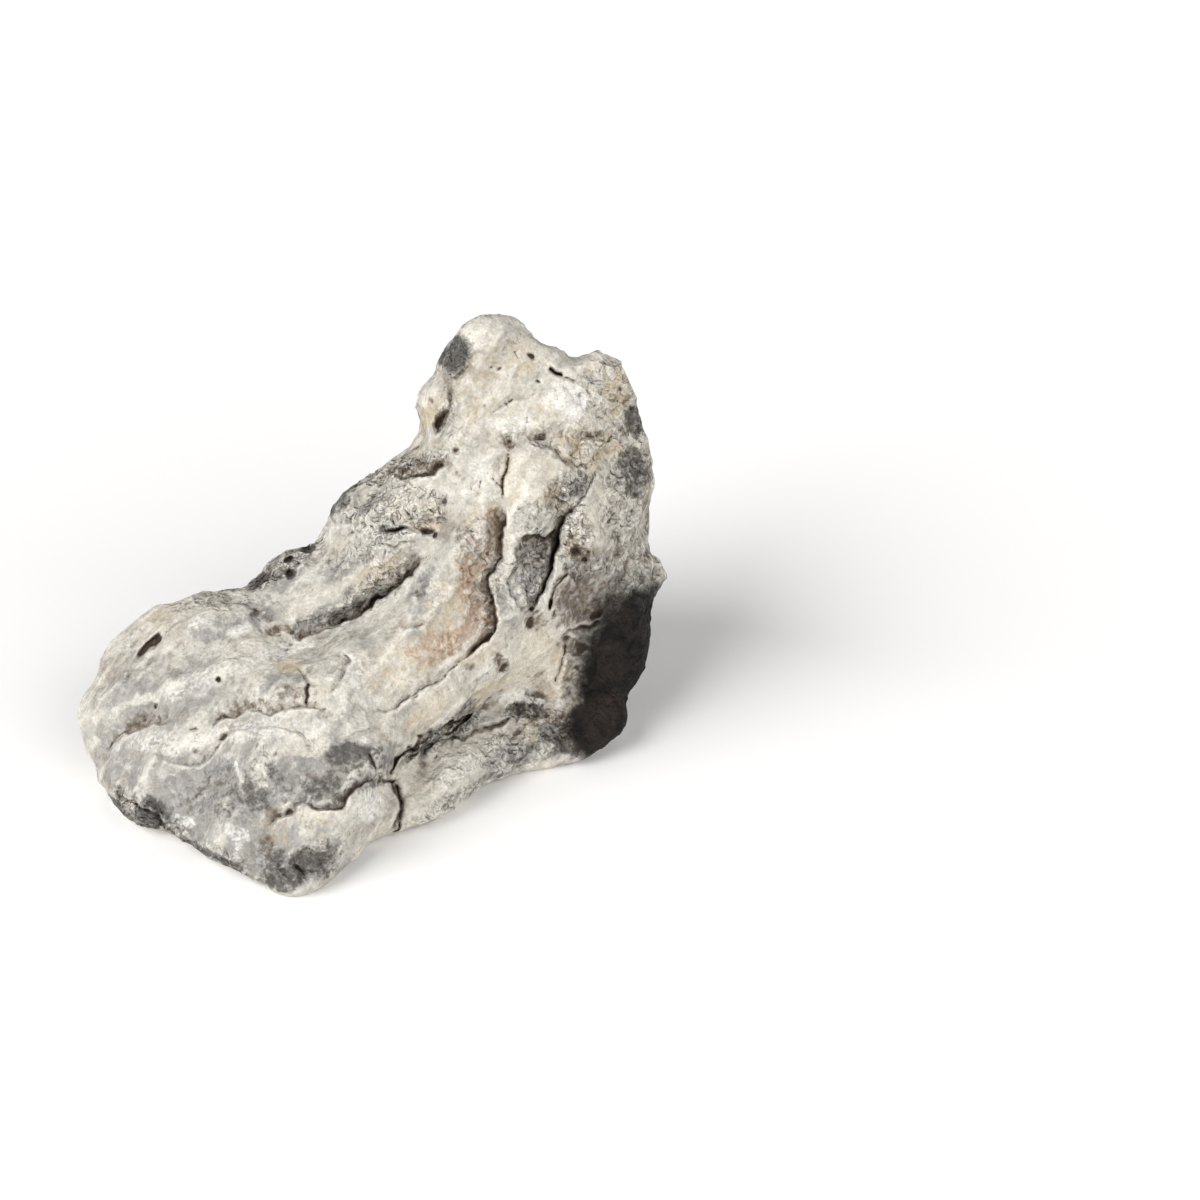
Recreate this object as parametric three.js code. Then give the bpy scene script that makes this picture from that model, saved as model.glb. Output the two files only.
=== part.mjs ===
// A seiryu stone: one weathered block of grey limestone, about 18 cm wide, lying as it is set in a tank.
// It is a wedge with its nose towards the viewer, a low round lobe on the left and a tall peak at the back.
// The body is one closed surface, a function of direction on the unit sphere: an outline seen from one eye
// point, given depth by a front sheet and a back sheet, then broken by flat faces, folded, and set down on
// worn feet.
// Millimetres, +Z up, +Y away from the viewer. The origin is the centre of the bounding box, on the ground.
import * as THREE from "three";
import { mergeVertices } from "three/addons/utils/BufferGeometryUtils.js";

// The sheet is the plane square to the view. `across` runs right, `up` runs up it, and depth is how far
// behind it a point lies along its own sight line. Its zero is the foot of the nose, the nearest point.
const viewElevation = THREE.MathUtils.degToRad(33);
const eyeDistance = 1100;
const eyeAcross = 97.5;
const eyeUp = 87.9;

const sphereDetail = 21; // 20 * 22 * 22 = 9680 triangles
const frontShare = 0.24; // moves vertices from the hidden back to the carved front
const edgeRoll = 15; // how far the outline's rounded edge lies behind the sheets
const edgeSharpness = 7; // a higher power keeps the roll closer to the outline
const relaxRounds = 5;
const relaxPull = 0.55;
const relaxPush = -0.57;
const bodyCentre = [55, 72]; // the sheet point that the outline runs round

// Outline, anticlockwise from the nose: across, up, height over the ground.
const outline = [
  [1, 0, 0],
  [10, 0.6, 0],
  [19.5, 6, 0],
  [28, 13, 0],
  [37.5, 17.7, 0],
  [46, 22.5, 0],
  [56, 28.2, 0],
  [71, 35.4, 0],
  [85.5, 39, 0],
  [95.5, 41, 0],
  [101, 45.5, 2], // the right end
  [105, 53, 5],
  [104, 57.5, 9],
  [107, 62, 13],
  [111.5, 73, 22],
  [114.5, 88, 34],
  [114.5, 106, 50],
  [113, 124, 69],
  [113, 139, 86],
  [112.5, 149.5, 98], // the second summit
  [107.5, 160, 110],
  [100, 165, 116],
  [93.5, 163, 115],
  [88, 159.5, 113], // the saddle
  [82.5, 163.5, 118],
  [76, 169.5, 125],
  [70, 174.5, 130],
  [61.5, 175.5, 131], // the peak
  [55.5, 171, 128],
  [50.5, 163.5, 119],
  [46.5, 151.5, 105],
  [43.8, 140.5, 93],
  [40.2, 132, 84],
  [34, 127.5, 80], // the left shoulder
  [26, 121.5, 74],
  [20, 114, 67],
  [14.5, 106.5, 58],
  [5, 100.5, 52],
  [-7, 93.5, 46],
  [-12, 91, 44], // the notch behind the lobe
  [-21, 91.2, 46],
  [-30, 90, 46],
  [-41, 85.5, 42],
  [-49.5, 77.5, 36],
  [-55, 67.5, 30],
  [-58.8, 56.5, 23], // the lobe's far left
  [-58.5, 44.5, 14],
  [-56, 36, 9],
  [-50.5, 28, 5],
  [-40.5, 21.3, 5],
  [-31, 16.3, 5],
  [-23, 11.5, 5],
  [-14.5, 8, 5],
  [-6.5, 4.4, 3],
];

// Spots on the front sheet: across, up, height over the ground.
const frontSpots = [
  [3, 10, 11.5], // nose
  [10, 20, 19],
  [-13.5, 28, 23], // grey face under the lobe
  [-31.5, 34, 22],
  [-25.5, 58, 38], // lobe
  [-22.5, 76, 45],
  [1.5, 61, 44],
  [22.5, 31, 24], // ridge that runs up from the nose
  [46.5, 36, 14], // band along the foot
  [67.5, 45, 11],
  [85.5, 50, 11],
  [46.5, 58, 38],
  [46.5, 76, 53], // middle plate
  [58.5, 103, 75],
  [22.5, 86.5, 56],
  [13.5, 94, 56],
  [34.5, 118, 80], // shoulder
  [52.5, 127, 92], // neck
  [64.5, 157, 119], // face of the peak
  [90, 148, 107],
  [97.5, 136, 95],
  [70.5, 100, 71], // fold beside the middle plate
  [94.5, 118, 80], // crest
  [81, 88, 56],
  [69.5, 67, 34],
  [85.5, 67, 27], // right wall
  [103.5, 82, 39],
];

// Spots on the back sheet: across, up, depth.
const backSpots = [
  [43.5, 82, 136],
  [46.5, 40, 95],
  [80, 60, 112],
  [103.5, 88, 112],
  [97.5, 124, 98],
  [78, 108, 99],
  [56, 118, 112],
  [61.5, 160, 73],
  [90, 150, 86],
  [43.5, 132, 84],
  [7.5, 96, 98],
  [-28.5, 76, 86],
  [-40.5, 58, 72],
  [-20, 36, 72],
  [10, 50, 98],
];

// Broad valleys: a path of sheet points, a half width and a depth.
const frontValleys = [
  // long hollow under the shoulder
  { path: [[42, 97], [35, 88], [22, 80], [6, 77]], halfWidth: 9, depth: 6 },
  // between the plate and the fold
  { path: [[68, 112], [65, 90], [64, 77], [53, 63], [38, 55]], halfWidth: 7, depth: 4 },
  // between the fold and the crest
  { path: [[86, 112], [82, 92], [75, 79]], halfWidth: 7, depth: 5 },
  // crevice over the foot band
  { path: [[78, 59], [62, 55], [47, 46], [37, 36]], halfWidth: 6, depth: 7 },
  // between the two summits
  { path: [[83, 157], [94, 148], [106, 143]], halfWidth: 7, depth: 5 },
];
const backValleys = [
  // behind the lobe
  { path: [[-6, 96], [12, 94], [30, 82], [44, 64]], halfWidth: 12, depth: 9 },
  // down from the neck
  { path: [[44, 146], [54, 132], [70, 116], [80, 92], [88, 60]], halfWidth: 11, depth: 9 },
  // down from the saddle
  { path: [[92, 158], [98, 136], [108, 104]], halfWidth: 9, depth: 7 },
];

// Flat faces where the block once broke: a direction out of the stone and how far out the face lies.
const brokenFaces = [
  { out: [0.1, 0.96, 0.25], distance: 160 },
  { out: [-0.7, 0.6, 0.35], distance: 104 },
  { out: [0.85, 0.5, 0.05], distance: 160 },
  { out: [0.25, 0.88, 0.42], distance: 189 },
];
const faceKeeps = 0.3; // share of what stood proud that is left in front of a broken face

// Long folds that run with the bedding, from the nose up to the peak.
const bedding = new THREE.Vector3(0.55, 0.6, 0.58).normalize();
const acrossBedding = new THREE.Vector3(0.78, -0.28, -0.45).normalize();
const foldHeight = 1.9;
const foldSpacing = 30;

// Flat worn feet on the underside: x, y and radius, measured from the nose. The rest is slightly hollow.
const feet = [
  [14, 20, 12],
  [84, 104, 15],
  [-26, 92, 14],
  [60, 142, 14],
  [10, 128, 12],
];
const underHollow = 3.5;

const right = new THREE.Vector3(1, 0, 0);
const upSheet = new THREE.Vector3(0, Math.sin(viewElevation), Math.cos(viewElevation));
const towardEye = new THREE.Vector3(0, -Math.cos(viewElevation), Math.sin(viewElevation));
const eye = sheetPoint(eyeAcross, eyeUp).addScaledVector(towardEye, eyeDistance);

function sheetPoint(across, up) {
  return new THREE.Vector3().addScaledVector(right, across).addScaledVector(upSheet, up);
}

// The point `depth` behind the sheet on the sight line through (across, up).
function sightPoint(across, up, depth) {
  const point = sheetPoint(across, up);
  const away = point.clone().sub(eye).normalize();
  return point.addScaledVector(away, depth);
}

// Depth at which the sight line through (across, up) has come down to a height over the ground.
function depthAtHeight(across, up, height) {
  const point = sheetPoint(across, up);
  const away = point.clone().sub(eye).normalize();
  return (height - point.z) / away.z;
}

// Solves the linear system in place by elimination with pivoting.
function solve(matrix, values) {
  const n = values.length;
  for (let column = 0; column < n; column++) {
    let best = column;
    for (let row = column + 1; row < n; row++) {
      if (Math.abs(matrix[row][column]) > Math.abs(matrix[best][column])) best = row;
    }
    [matrix[column], matrix[best]] = [matrix[best], matrix[column]];
    [values[column], values[best]] = [values[best], values[column]];
    for (let row = column + 1; row < n; row++) {
      const factor = matrix[row][column] / matrix[column][column];
      for (let k = column; k < n; k++) matrix[row][k] -= factor * matrix[column][k];
      values[row] -= factor * values[column];
    }
  }
  for (let row = n - 1; row >= 0; row--) {
    for (let k = row + 1; k < n; k++) values[row] -= matrix[row][k] * values[k];
    values[row] /= matrix[row][row];
  }
  return values;
}

// Thin-plate surface through spots of [across, up, depth]: returns depth as a function of (across, up).
function thinPlate(spots) {
  const stiffness = (a, b) => {
    const square = (a[0] - b[0]) ** 2 + (a[1] - b[1]) ** 2;
    return square > 0 ? square * Math.log(square) : 0;
  };
  const n = spots.length;
  const matrix = spots.map((spot) => [...spots.map((other) => stiffness(spot, other)), 1, spot[0], spot[1]]);
  for (let k = 0; k < 3; k++) {
    matrix.push([...spots.map((spot) => [1, spot[0], spot[1]][k]), 0, 0, 0]);
  }
  const weights = solve(matrix, [...spots.map((spot) => spot[2]), 0, 0, 0]);
  return (across, up) => {
    let depth = weights[n] + weights[n + 1] * across + weights[n + 2] * up;
    for (let k = 0; k < n; k++) depth += weights[k] * stiffness(spots[k], [across, up]);
    return depth;
  };
}

// Outline as a closed curve, looked up by the angle round the body's centre.
function makeRim() {
  const samples = 1440;
  const points = outline.map(([across, up, height]) => {
    return new THREE.Vector3(across, up, depthAtHeight(across, up, height));
  });
  const curve = new THREE.CatmullRomCurve3(points, true, "centripetal");
  const rim = curve.getPoints(samples).map((p) => {
    return { angle: Math.atan2(p.y - bodyCentre[1], p.x - bodyCentre[0]), point: p };
  });
  rim.sort((a, b) => a.angle - b.angle);
  const lookUp = (angle) => {
    let low = 0;
    let high = rim.length;
    while (low < high) {
      const middle = (low + high) >> 1;
      if (rim[middle].angle < angle) low = middle + 1;
      else high = middle;
    }
    const after = rim[low % rim.length];
    const before = rim[(low + rim.length - 1) % rim.length];
    const turn = (x) => ((x % (2 * Math.PI)) + 2 * Math.PI) % (2 * Math.PI);
    const share = turn(angle - before.angle) / Math.max(turn(after.angle - before.angle), 1e-9);
    return before.point.clone().lerp(after.point, Math.min(share, 1));
  };
  return { points, lookUp };
}

// Distance in the sheet from (across, up) to a path of points.
function pathDistance(path, across, up) {
  let nearest = Infinity;
  for (let k = 0; k + 1 < path.length; k++) {
    const [ax, ay] = path[k];
    const [bx, by] = path[k + 1];
    const length = (bx - ax) ** 2 + (by - ay) ** 2;
    const share = THREE.MathUtils.clamp(((across - ax) * (bx - ax) + (up - ay) * (by - ay)) / length, 0, 1);
    nearest = Math.min(nearest, Math.hypot(across - ax - share * (bx - ax), up - ay - share * (by - ay)));
  }
  return nearest;
}

// How deep the valleys of one sheet are at (across, up).
function valleyDepth(valleys, across, up) {
  let depth = 0;
  for (const valley of valleys) {
    const offset = pathDistance(valley.path, across, up) / valley.halfWidth;
    depth += valley.depth * Math.exp(-(offset ** 2));
  }
  return depth;
}

const rim = makeRim();
const rimSpots = rim.points.map((p) => [p.x, p.y, p.z]);
const faceSpots = frontSpots.map(([across, up, height]) => [across, up, depthAtHeight(across, up, height)]);
const frontSheet = thinPlate([...faceSpots, ...rimSpots.map(([x, y, depth]) => [x, y, depth - edgeRoll])]);
const backSheet = thinPlate([...backSpots, ...rimSpots.map(([x, y, depth]) => [x, y, depth + edgeRoll])]);

// The body's point in a direction of the unit sphere, whose third axis points at the viewer.
function bodyPoint(direction) {
  const toward = direction.z + frontShare * (1 - direction.z ** 2);
  const reach = Math.sqrt(Math.max(0, 1 - toward ** 2));
  const edge = rim.lookUp(Math.atan2(direction.y, direction.x));
  const across = THREE.MathUtils.lerp(bodyCentre[0], edge.x, reach);
  const up = THREE.MathUtils.lerp(bodyCentre[1], edge.y, reach);
  const roll = edgeRoll * (1 - Math.sqrt(Math.max(0, 1 - reach ** edgeSharpness)));
  const inside = 1 - reach ** 8; // valleys run out before the outline
  if (toward < 0) {
    const carved = inside * valleyDepth(backValleys, across, up);
    return sightPoint(across, up, backSheet(across, up) - roll - carved);
  }
  const carved = inside * valleyDepth(frontValleys, across, up);
  return sightPoint(across, up, frontSheet(across, up) + roll + carved);
}

// What stands proud of a broken face is pressed back to near its plane.
function breakFaces(point) {
  for (const face of brokenFaces) {
    const out = new THREE.Vector3(...face.out).normalize();
    const proud = point.dot(out) - face.distance;
    if (proud > 0) point.addScaledVector(out, -proud * (1 - faceKeeps));
  }
}

// Height of the folds at a point: waves across the bedding, bent by slower waves along it, and two swells.
function foldAt(p) {
  const wave = (x, y, z, length) => Math.sin((2 * Math.PI * (p.x * x + p.y * y + p.z * z)) / length);
  const bend = 9 * Math.sin(p.dot(bedding) / 31) + 6 * wave(0.3, -0.8, 0.5, 83);
  const folds = Math.sin((2 * Math.PI * (p.dot(acrossBedding) + bend)) / foldSpacing);
  return foldHeight * (0.7 * folds + 0.55 * wave(0.5, 0.6, -0.6, 37) + 0.4 * wave(-0.7, 0.3, 0.65, 23));
}

// Flat feet at ground level, with shallow hollows between them.
function setDown(point) {
  if (point.z >= 0) return;
  let clear = 1;
  for (const [x, y, radius] of feet) {
    const gap = Math.hypot(point.x - x, point.y - y) / radius - 1;
    clear = Math.min(clear, THREE.MathUtils.smoothstep(gap, 0, 0.8));
  }
  const ripple = 0.75 + 0.25 * Math.sin(point.x / 9) * Math.cos(point.y / 11);
  point.z = underHollow * clear * ripple * THREE.MathUtils.smoothstep(-point.z, 0, 14);
}

// Moves each vertex towards the mean of its neighbours, then as far back: it smooths and doesn't shrink.
function relax(positions, index) {
  for (let step = 0; step < 2 * relaxRounds; step++) {
    const pull = step % 2 === 0 ? relaxPull : relaxPush;
    const sums = new Float64Array(positions.count * 3);
    const counts = new Float64Array(positions.count);
    for (let k = 0; k < index.count; k++) {
      const from = index.getX(k);
      const to = index.getX(k % 3 === 2 ? k - 2 : k + 1);
      sums[3 * from] += positions.getX(to);
      sums[3 * from + 1] += positions.getY(to);
      sums[3 * from + 2] += positions.getZ(to);
      counts[from] += 1;
    }
    for (let k = 0; k < positions.count; k++) {
      const mean = [0, 1, 2].map((axis) => sums[3 * k + axis] / counts[k]);
      positions.setXYZ(
        k,
        THREE.MathUtils.lerp(positions.getX(k), mean[0], pull),
        THREE.MathUtils.lerp(positions.getY(k), mean[1], pull),
        THREE.MathUtils.lerp(positions.getZ(k), mean[2], pull),
      );
    }
  }
}

function makeStone() {
  const sphere = new THREE.IcosahedronGeometry(1, sphereDetail);
  sphere.deleteAttribute("normal");
  sphere.deleteAttribute("uv");
  const geometry = mergeVertices(sphere, 1e-5);
  const positions = geometry.getAttribute("position");
  const point = new THREE.Vector3();
  for (let k = 0; k < positions.count; k++) {
    point.copy(bodyPoint(point.fromBufferAttribute(positions, k).normalize()));
    breakFaces(point);
    positions.setXYZ(k, point.x, point.y, point.z);
  }
  relax(positions, geometry.index);
  // The sheet's axes make the sphere's third axis face the viewer, so the surface keeps its outward winding.
  geometry.computeVertexNormals();
  const normals = geometry.getAttribute("normal");
  const normal = new THREE.Vector3();
  for (let k = 0; k < positions.count; k++) {
    point.fromBufferAttribute(positions, k);
    normal.fromBufferAttribute(normals, k);
    point.addScaledVector(normal, foldAt(point));
    setDown(point);
    positions.setXYZ(k, point.x, point.y, point.z);
  }
  geometry.computeBoundingBox();
  const centre = geometry.boundingBox.getCenter(new THREE.Vector3());
  geometry.translate(-centre.x, -centre.y, 0);
  geometry.computeVertexNormals();
  return geometry;
}

const limestone = new THREE.MeshStandardMaterial({ color: 0xb9b3aa, roughness: 0.92, metalness: 0 });
const stone = new THREE.Mesh(makeStone(), limestone);
stone.name = "stone";

const group = new THREE.Group();
group.add(stone);
export default group;
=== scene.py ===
import bpy
import math
import mathutils
import numpy as np
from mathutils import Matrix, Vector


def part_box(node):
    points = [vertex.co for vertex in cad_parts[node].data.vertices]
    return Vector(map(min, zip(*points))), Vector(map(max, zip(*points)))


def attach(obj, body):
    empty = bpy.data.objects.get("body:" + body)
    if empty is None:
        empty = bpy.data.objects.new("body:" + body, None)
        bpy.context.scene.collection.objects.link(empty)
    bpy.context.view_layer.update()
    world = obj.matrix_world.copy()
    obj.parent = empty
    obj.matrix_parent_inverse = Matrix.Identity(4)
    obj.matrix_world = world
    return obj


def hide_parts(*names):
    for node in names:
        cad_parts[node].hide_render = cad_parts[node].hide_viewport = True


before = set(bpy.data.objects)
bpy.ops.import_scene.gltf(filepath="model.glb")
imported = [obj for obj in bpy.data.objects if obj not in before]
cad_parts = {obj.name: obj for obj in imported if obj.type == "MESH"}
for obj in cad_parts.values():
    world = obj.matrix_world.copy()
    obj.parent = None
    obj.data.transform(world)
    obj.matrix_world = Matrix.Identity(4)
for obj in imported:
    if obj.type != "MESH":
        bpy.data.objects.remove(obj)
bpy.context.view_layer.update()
metre = 1000.0  # shapes are worked out in millimetres

# Places on the stone's front are given on its sheet, the plane square to the view: millimetres across
# and up it from the foot of the nose, as the eye point sees them.
sheet = {
    "noseFromLeft": 64.1,  # where the nose's foot stands in the stone's box
    "noseFromFront": 3.4,
    "elevation": 33.0,  # degrees that the view comes down from
    "eyeDistance": 1100.0,
    "eyeAcross": 97.5,
    "eyeUp": 87.9,
    "frameWidth": 360.0,  # how much of the sheet the camera takes in
}

stoneLow = np.array(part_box("stone")[0]) * metre
noseFoot = stoneLow + [sheet["noseFromLeft"], sheet["noseFromFront"], 0]
viewSlope = math.radians(sheet["elevation"])
rightward = np.array([1.0, 0.0, 0.0])
upSheet = np.array([0.0, math.sin(viewSlope), math.cos(viewSlope)])
toEye = np.array([0.0, -math.cos(viewSlope), math.sin(viewSlope)])
eye = (
    noseFoot
    + sheet["eyeAcross"] * rightward
    + sheet["eyeUp"] * upSheet
    + sheet["eyeDistance"] * toEye
)


def linearColour(code):
    # sRGB hex to linear: below 0.04045 a channel is divided by 12.92, above it ((c + 0.055) / 1.055) ^ 2.4
    channels = [int(code[place : place + 2], 16) / 255 for place in (1, 3, 5)]
    linear = [c / 12.92 if c <= 0.04045 else ((c + 0.055) / 1.055) ** 2.4 for c in channels]
    return (*linear, 1.0)


def addNode(tree, kind, inputs=None, **settings):
    # a node with its settings, and its sockets by name or number, each a value or another node's output
    node = tree.nodes.new("ShaderNode" + kind)
    for name, value in settings.items():
        setattr(node, name, value)
    for name, value in (inputs or {}).items():
        if isinstance(value, bpy.types.NodeSocket):
            tree.links.new(value, node.inputs[name])
        else:
            node.inputs[name].default_value = value
    return node


def smooth(share):
    # 0 below 0, 1 above 1, and 3t^2 - 2t^3 between
    share = np.clip(share, 0, 1)
    return share * share * (3 - 2 * share)


def unit(vectors):
    # each vector over its own length
    return vectors / np.maximum(np.linalg.norm(vectors, axis=-1, keepdims=True), 1e-12)


studio = {
    "floorSize": 8.0,
    "floorColour": "#f9f8f7",
    "floorRoughness": 0.9,
    "floorShine": 0.2,
    "worldColour": "#ffffff",
    "worldStrength": 0.22,
    # Broad lights: where from, strength, angle in degrees that the light spreads over.
    "lights": {
        "key": ((-0.75, -0.40, 0.62), 3.4, 55),
        "fill": ((0.62, -0.66, 0.34), 2.3, 65),
    },
    # The camera sees what is between these, in metres.
    "nearest": 0.05,
    "farthest": 20,
}


def makeFloor():
    # matt white paper: evenly pale, with hardly a shine
    half = studio["floorSize"] / 2
    corners = [(-half, -half, 0), (half, -half, 0), (half, half, 0), (-half, half, 0)]
    floorMesh = bpy.data.meshes.new("floor")
    floorMesh.from_pydata(corners, [], [(0, 1, 2, 3)])
    floor = bpy.data.objects.new("floor", floorMesh)
    bpy.context.collection.objects.link(floor)
    paper = bpy.data.materials.new("matt white paper")
    paper.use_nodes = True
    shader = paper.node_tree.nodes["Principled BSDF"]
    shader.inputs["Base Color"].default_value = linearColour(studio["floorColour"])
    shader.inputs["Roughness"].default_value = studio["floorRoughness"]
    shader.inputs["Specular IOR Level"].default_value = studio["floorShine"]
    floorMesh.materials.append(paper)


def makeLights():
    world = bpy.data.worlds.new("soft white room")
    world.use_nodes = True
    background = world.node_tree.nodes["Background"]
    background.inputs["Color"].default_value = linearColour(studio["worldColour"])
    background.inputs["Strength"].default_value = studio["worldStrength"]
    bpy.context.scene.world = world
    for name, (comesFrom, strength, spread) in studio["lights"].items():
        lightData = bpy.data.lights.new(name, "SUN")
        lightData.energy = strength
        lightData.angle = math.radians(spread)
        light = bpy.data.objects.new(name, lightData)
        light.rotation_euler = mathutils.Vector(comesFrom).to_track_quat("Z", "Y").to_euler()
        bpy.context.collection.objects.link(light)


def makeCamera():
    cameraData = bpy.data.cameras.new("camera")
    cameraData.lens = cameraData.sensor_width * sheet["eyeDistance"] / sheet["frameWidth"]
    cameraData.clip_start = studio["nearest"]
    cameraData.clip_end = studio["farthest"]
    camera = bpy.data.objects.new("camera", cameraData)
    camera.location = eye / metre
    camera.rotation_euler = mathutils.Vector(toEye).to_track_quat("Z", "Y").to_euler()
    bpy.context.collection.objects.link(camera)
    bpy.context.scene.camera = camera
    bpy.context.scene.view_settings.view_transform = "Standard"


makeFloor()
makeLights()
makeCamera()
print("studio: floor, lights and camera")


def nodeArrays(node):
    # the CAD node's points in millimetres with doubles merged, and its triangles
    mesh = node.data
    raw = np.zeros(len(mesh.vertices) * 3, np.float32)
    mesh.vertices.foreach_get("co", raw)
    mesh.calc_loop_triangles()
    corners = np.zeros(len(mesh.loop_triangles) * 3, np.int32)
    mesh.loop_triangles.foreach_get("vertices", corners)
    microns = np.round(raw.reshape(-1, 3) * 1e6).astype(np.int64)
    merged, which = np.unique(microns, axis=0, return_inverse=True)
    faces = which.reshape(-1)[corners].reshape(-1, 3)
    whole = (faces[:, 0] != faces[:, 1]) & (faces[:, 1] != faces[:, 2]) & (faces[:, 2] != faces[:, 0])
    return merged / 1000.0, faces[whole]


def edgesOf(faces, count):
    # every edge once, as a pair of points, and the numbers of each face's three edges
    sides = np.sort(faces[:, [0, 1, 1, 2, 2, 0]].reshape(-1, 2), axis=1)
    keys, which = np.unique(sides[:, 0] * count + sides[:, 1], return_inverse=True)
    return np.stack([keys // count, keys % count], axis=1), which.reshape(-1, 3)


def sumAt(where, values, count):
    # adds up the vectors that belong to each point
    return np.stack([np.bincount(where, values[:, axis], count) for axis in range(3)], axis=1)


def pointNormals(points, faces):
    # the sum of the cross products of the faces round a point, made one long
    first, second, third = (points[faces[:, corner]] for corner in range(3))
    across = np.cross(second - first, third - first)
    return unit(sumAt(faces.ravel(), np.repeat(across, 3, axis=0), len(points)))


def neighbourMean(values, edges):
    # the mean of each point's neighbours
    count = len(values)
    start, end = edges.T
    total = sumAt(start, values[end], count) + sumAt(end, values[start], count)
    return total / np.bincount(edges.ravel(), minlength=count)[:, None]


def relaxed(points, edges, rounds):
    # each round pulls points towards their neighbours and then pushes them back a little further, which
    # evens out ripples and leaves the size as it was
    pull, push = 0.5, -0.53
    for _ in range(rounds):
        for share in (pull, push):
            points = points + share * (neighbourMean(points, edges) - points)
    return points


def splitFaces(faces, sideEdges, middles):
    # a face with one, two or three split edges becomes two, three or four faces
    onSides = middles[sideEdges]
    isSplit = onSides >= 0
    number = isSplit.sum(axis=1)
    loneSplit = np.argmax(isSplit, axis=1)
    afterWhole = (np.argmin(isSplit, axis=1) + 1) % 3
    turn = np.where(number == 1, loneSplit, np.where(number == 2, afterWhole, 0))
    order = (turn[:, None] + np.arange(3)) % 3
    a, b, c = np.take_along_axis(faces, order, axis=1).T
    ab, bc, ca = np.take_along_axis(onSides, order, axis=1).T
    made = [
        (number == 0, (a, b, c)),
        (number == 1, (a, ab, c)),
        (number == 1, (ab, b, c)),
        (number == 2, (ab, b, bc)),
        (number == 2, (a, ab, bc)),
        (number == 2, (a, bc, c)),
        (number == 3, (a, ab, ca)),
        (number == 3, (ab, b, bc)),
        (number == 3, (ca, bc, c)),
        (number == 3, (ab, bc, ca)),
    ]
    return np.concatenate([np.stack(corners, axis=1)[chosen] for chosen, corners in made])


def shiftedAndRefined(points, normals, faces, traitsOf, rounds):
    # works out each point's traits (its shift, the longest edge allowed there, and any others), and splits
    # every edge that is too long on the shifted surface. A new point starts between the midpoint of its
    # edge and the mean of that midpoint dropped on the two ends' tangent planes
    towardsPlanes = 0.75
    traits = traitsOf(points, normals)
    for _ in range(rounds):
        edges, sideEdges = edgesOf(faces, len(points))
        start, end = edges.T
        moved = points + traits[:, :3]
        lengths = np.linalg.norm(moved[start] - moved[end], axis=1)
        isLong = lengths > (traits[start, 3] + traits[end, 3]) / 2
        if not isLong.any():
            break
        # a face with a split edge has its longest edge split too, and that reaches its neighbours
        longest = sideEdges[np.arange(len(faces)), np.argmax(lengths[sideEdges], axis=1)]
        for _ in range(3):
            isLong[longest[isLong[sideEdges].any(axis=1)]] = True
        middles = np.where(isLong, len(points) - 1 + np.cumsum(isLong), -1)
        start, end = start[isLong], end[isLong]
        middle = (points[start] + points[end]) / 2
        dropped = 0
        for side in (start, end):
            height = np.sum((middle - points[side]) * normals[side], axis=1)
            dropped = dropped + height[:, None] * normals[side]
        newPoints = middle - towardsPlanes * dropped / 2
        newNormals = unit(normals[start] + normals[end])
        traits = np.concatenate([traits, traitsOf(newPoints, newNormals)])
        points = np.concatenate([points, newPoints])
        normals = np.concatenate([normals, newNormals])
        faces = splitFaces(faces, sideEdges, middles)
    return points + traits[:, :3], faces, traits[:, 4:]


def randomValues(cells, seed):
    # three values from 0 to 1 for each lattice cell, by multiplying and folding its whole numbers
    cells = cells.astype(np.uint64)
    mask = np.uint64(0xFFFFFFFF)
    mixed = cells[:, 0] * np.uint64(73856093) ^ cells[:, 1] * np.uint64(19349663)
    mixed = (mixed ^ cells[:, 2] * np.uint64(83492791) ^ np.uint64(seed * 2654435761 + 97)) & mask
    values = []
    for _ in range(3):
        mixed = (mixed ^ (mixed >> np.uint64(15))) * np.uint64(2246822519) & mask
        mixed = (mixed ^ (mixed >> np.uint64(13))) * np.uint64(3266489917) & mask
        mixed = mixed ^ (mixed >> np.uint64(16))
        values.append(mixed / 4294967295.0)
    return np.stack(values, axis=1)


def cellValues(cells, seed):
    # the same for cells on either side of zero
    return randomValues(cells.astype(np.int64) + 4096, seed)


def noise(points, size, seed):
    # about -1 to 1: each lattice corner holds a random slope, and the eight slopes round a point are
    # blended by 6t^5 - 15t^4 + 10t^3
    place = points / size
    cell = np.floor(place)
    inside = place - cell
    fade = inside**3 * (inside * (inside * 6 - 15) + 10)
    total = np.zeros(len(points))
    for corner in np.ndindex(2, 2, 2):
        slope = cellValues(cell + corner, seed) * 2 - 1
        weight = np.prod(np.where(corner, fade, 1 - fade), axis=1)
        total += weight * np.sum(slope * (inside - corner), axis=1)
    return total * 1.5


def layeredNoise(points, size, seed, layers):
    # layers of noise, each half the size and half the height of the one before
    return sum(0.5**layer * noise(points, size / 2**layer, seed + 31 * layer) for layer in range(layers))


def cellNoise(points, size, seed):
    # distance to the nearest of the random points that stand one to a cell, in cells, and a random value
    # of that point
    place = points / size
    cell = np.floor(place)
    nearest = np.full(len(points), 9.0)
    value = np.zeros(len(points))
    for step in np.ndindex(3, 3, 3):
        corner = cell + np.array(step) - 1
        spot = cellValues(corner, seed)
        distance = np.linalg.norm(corner + spot - place, axis=1)
        closer = distance < nearest
        nearest = np.where(closer, distance, nearest)
        value = np.where(closer, spot @ np.array([7.0, 3.0, 11.0]) % 1, value)
    return nearest, value


def sheetPlaces(points):
    # across and up where the sight line through a point meets the sheet
    away = points - eye
    scale = sheet["eyeDistance"] / -(away @ toEye)
    return sheet["eyeAcross"] + away @ rightward * scale, sheet["eyeUp"] + away @ upSheet * scale


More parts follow.
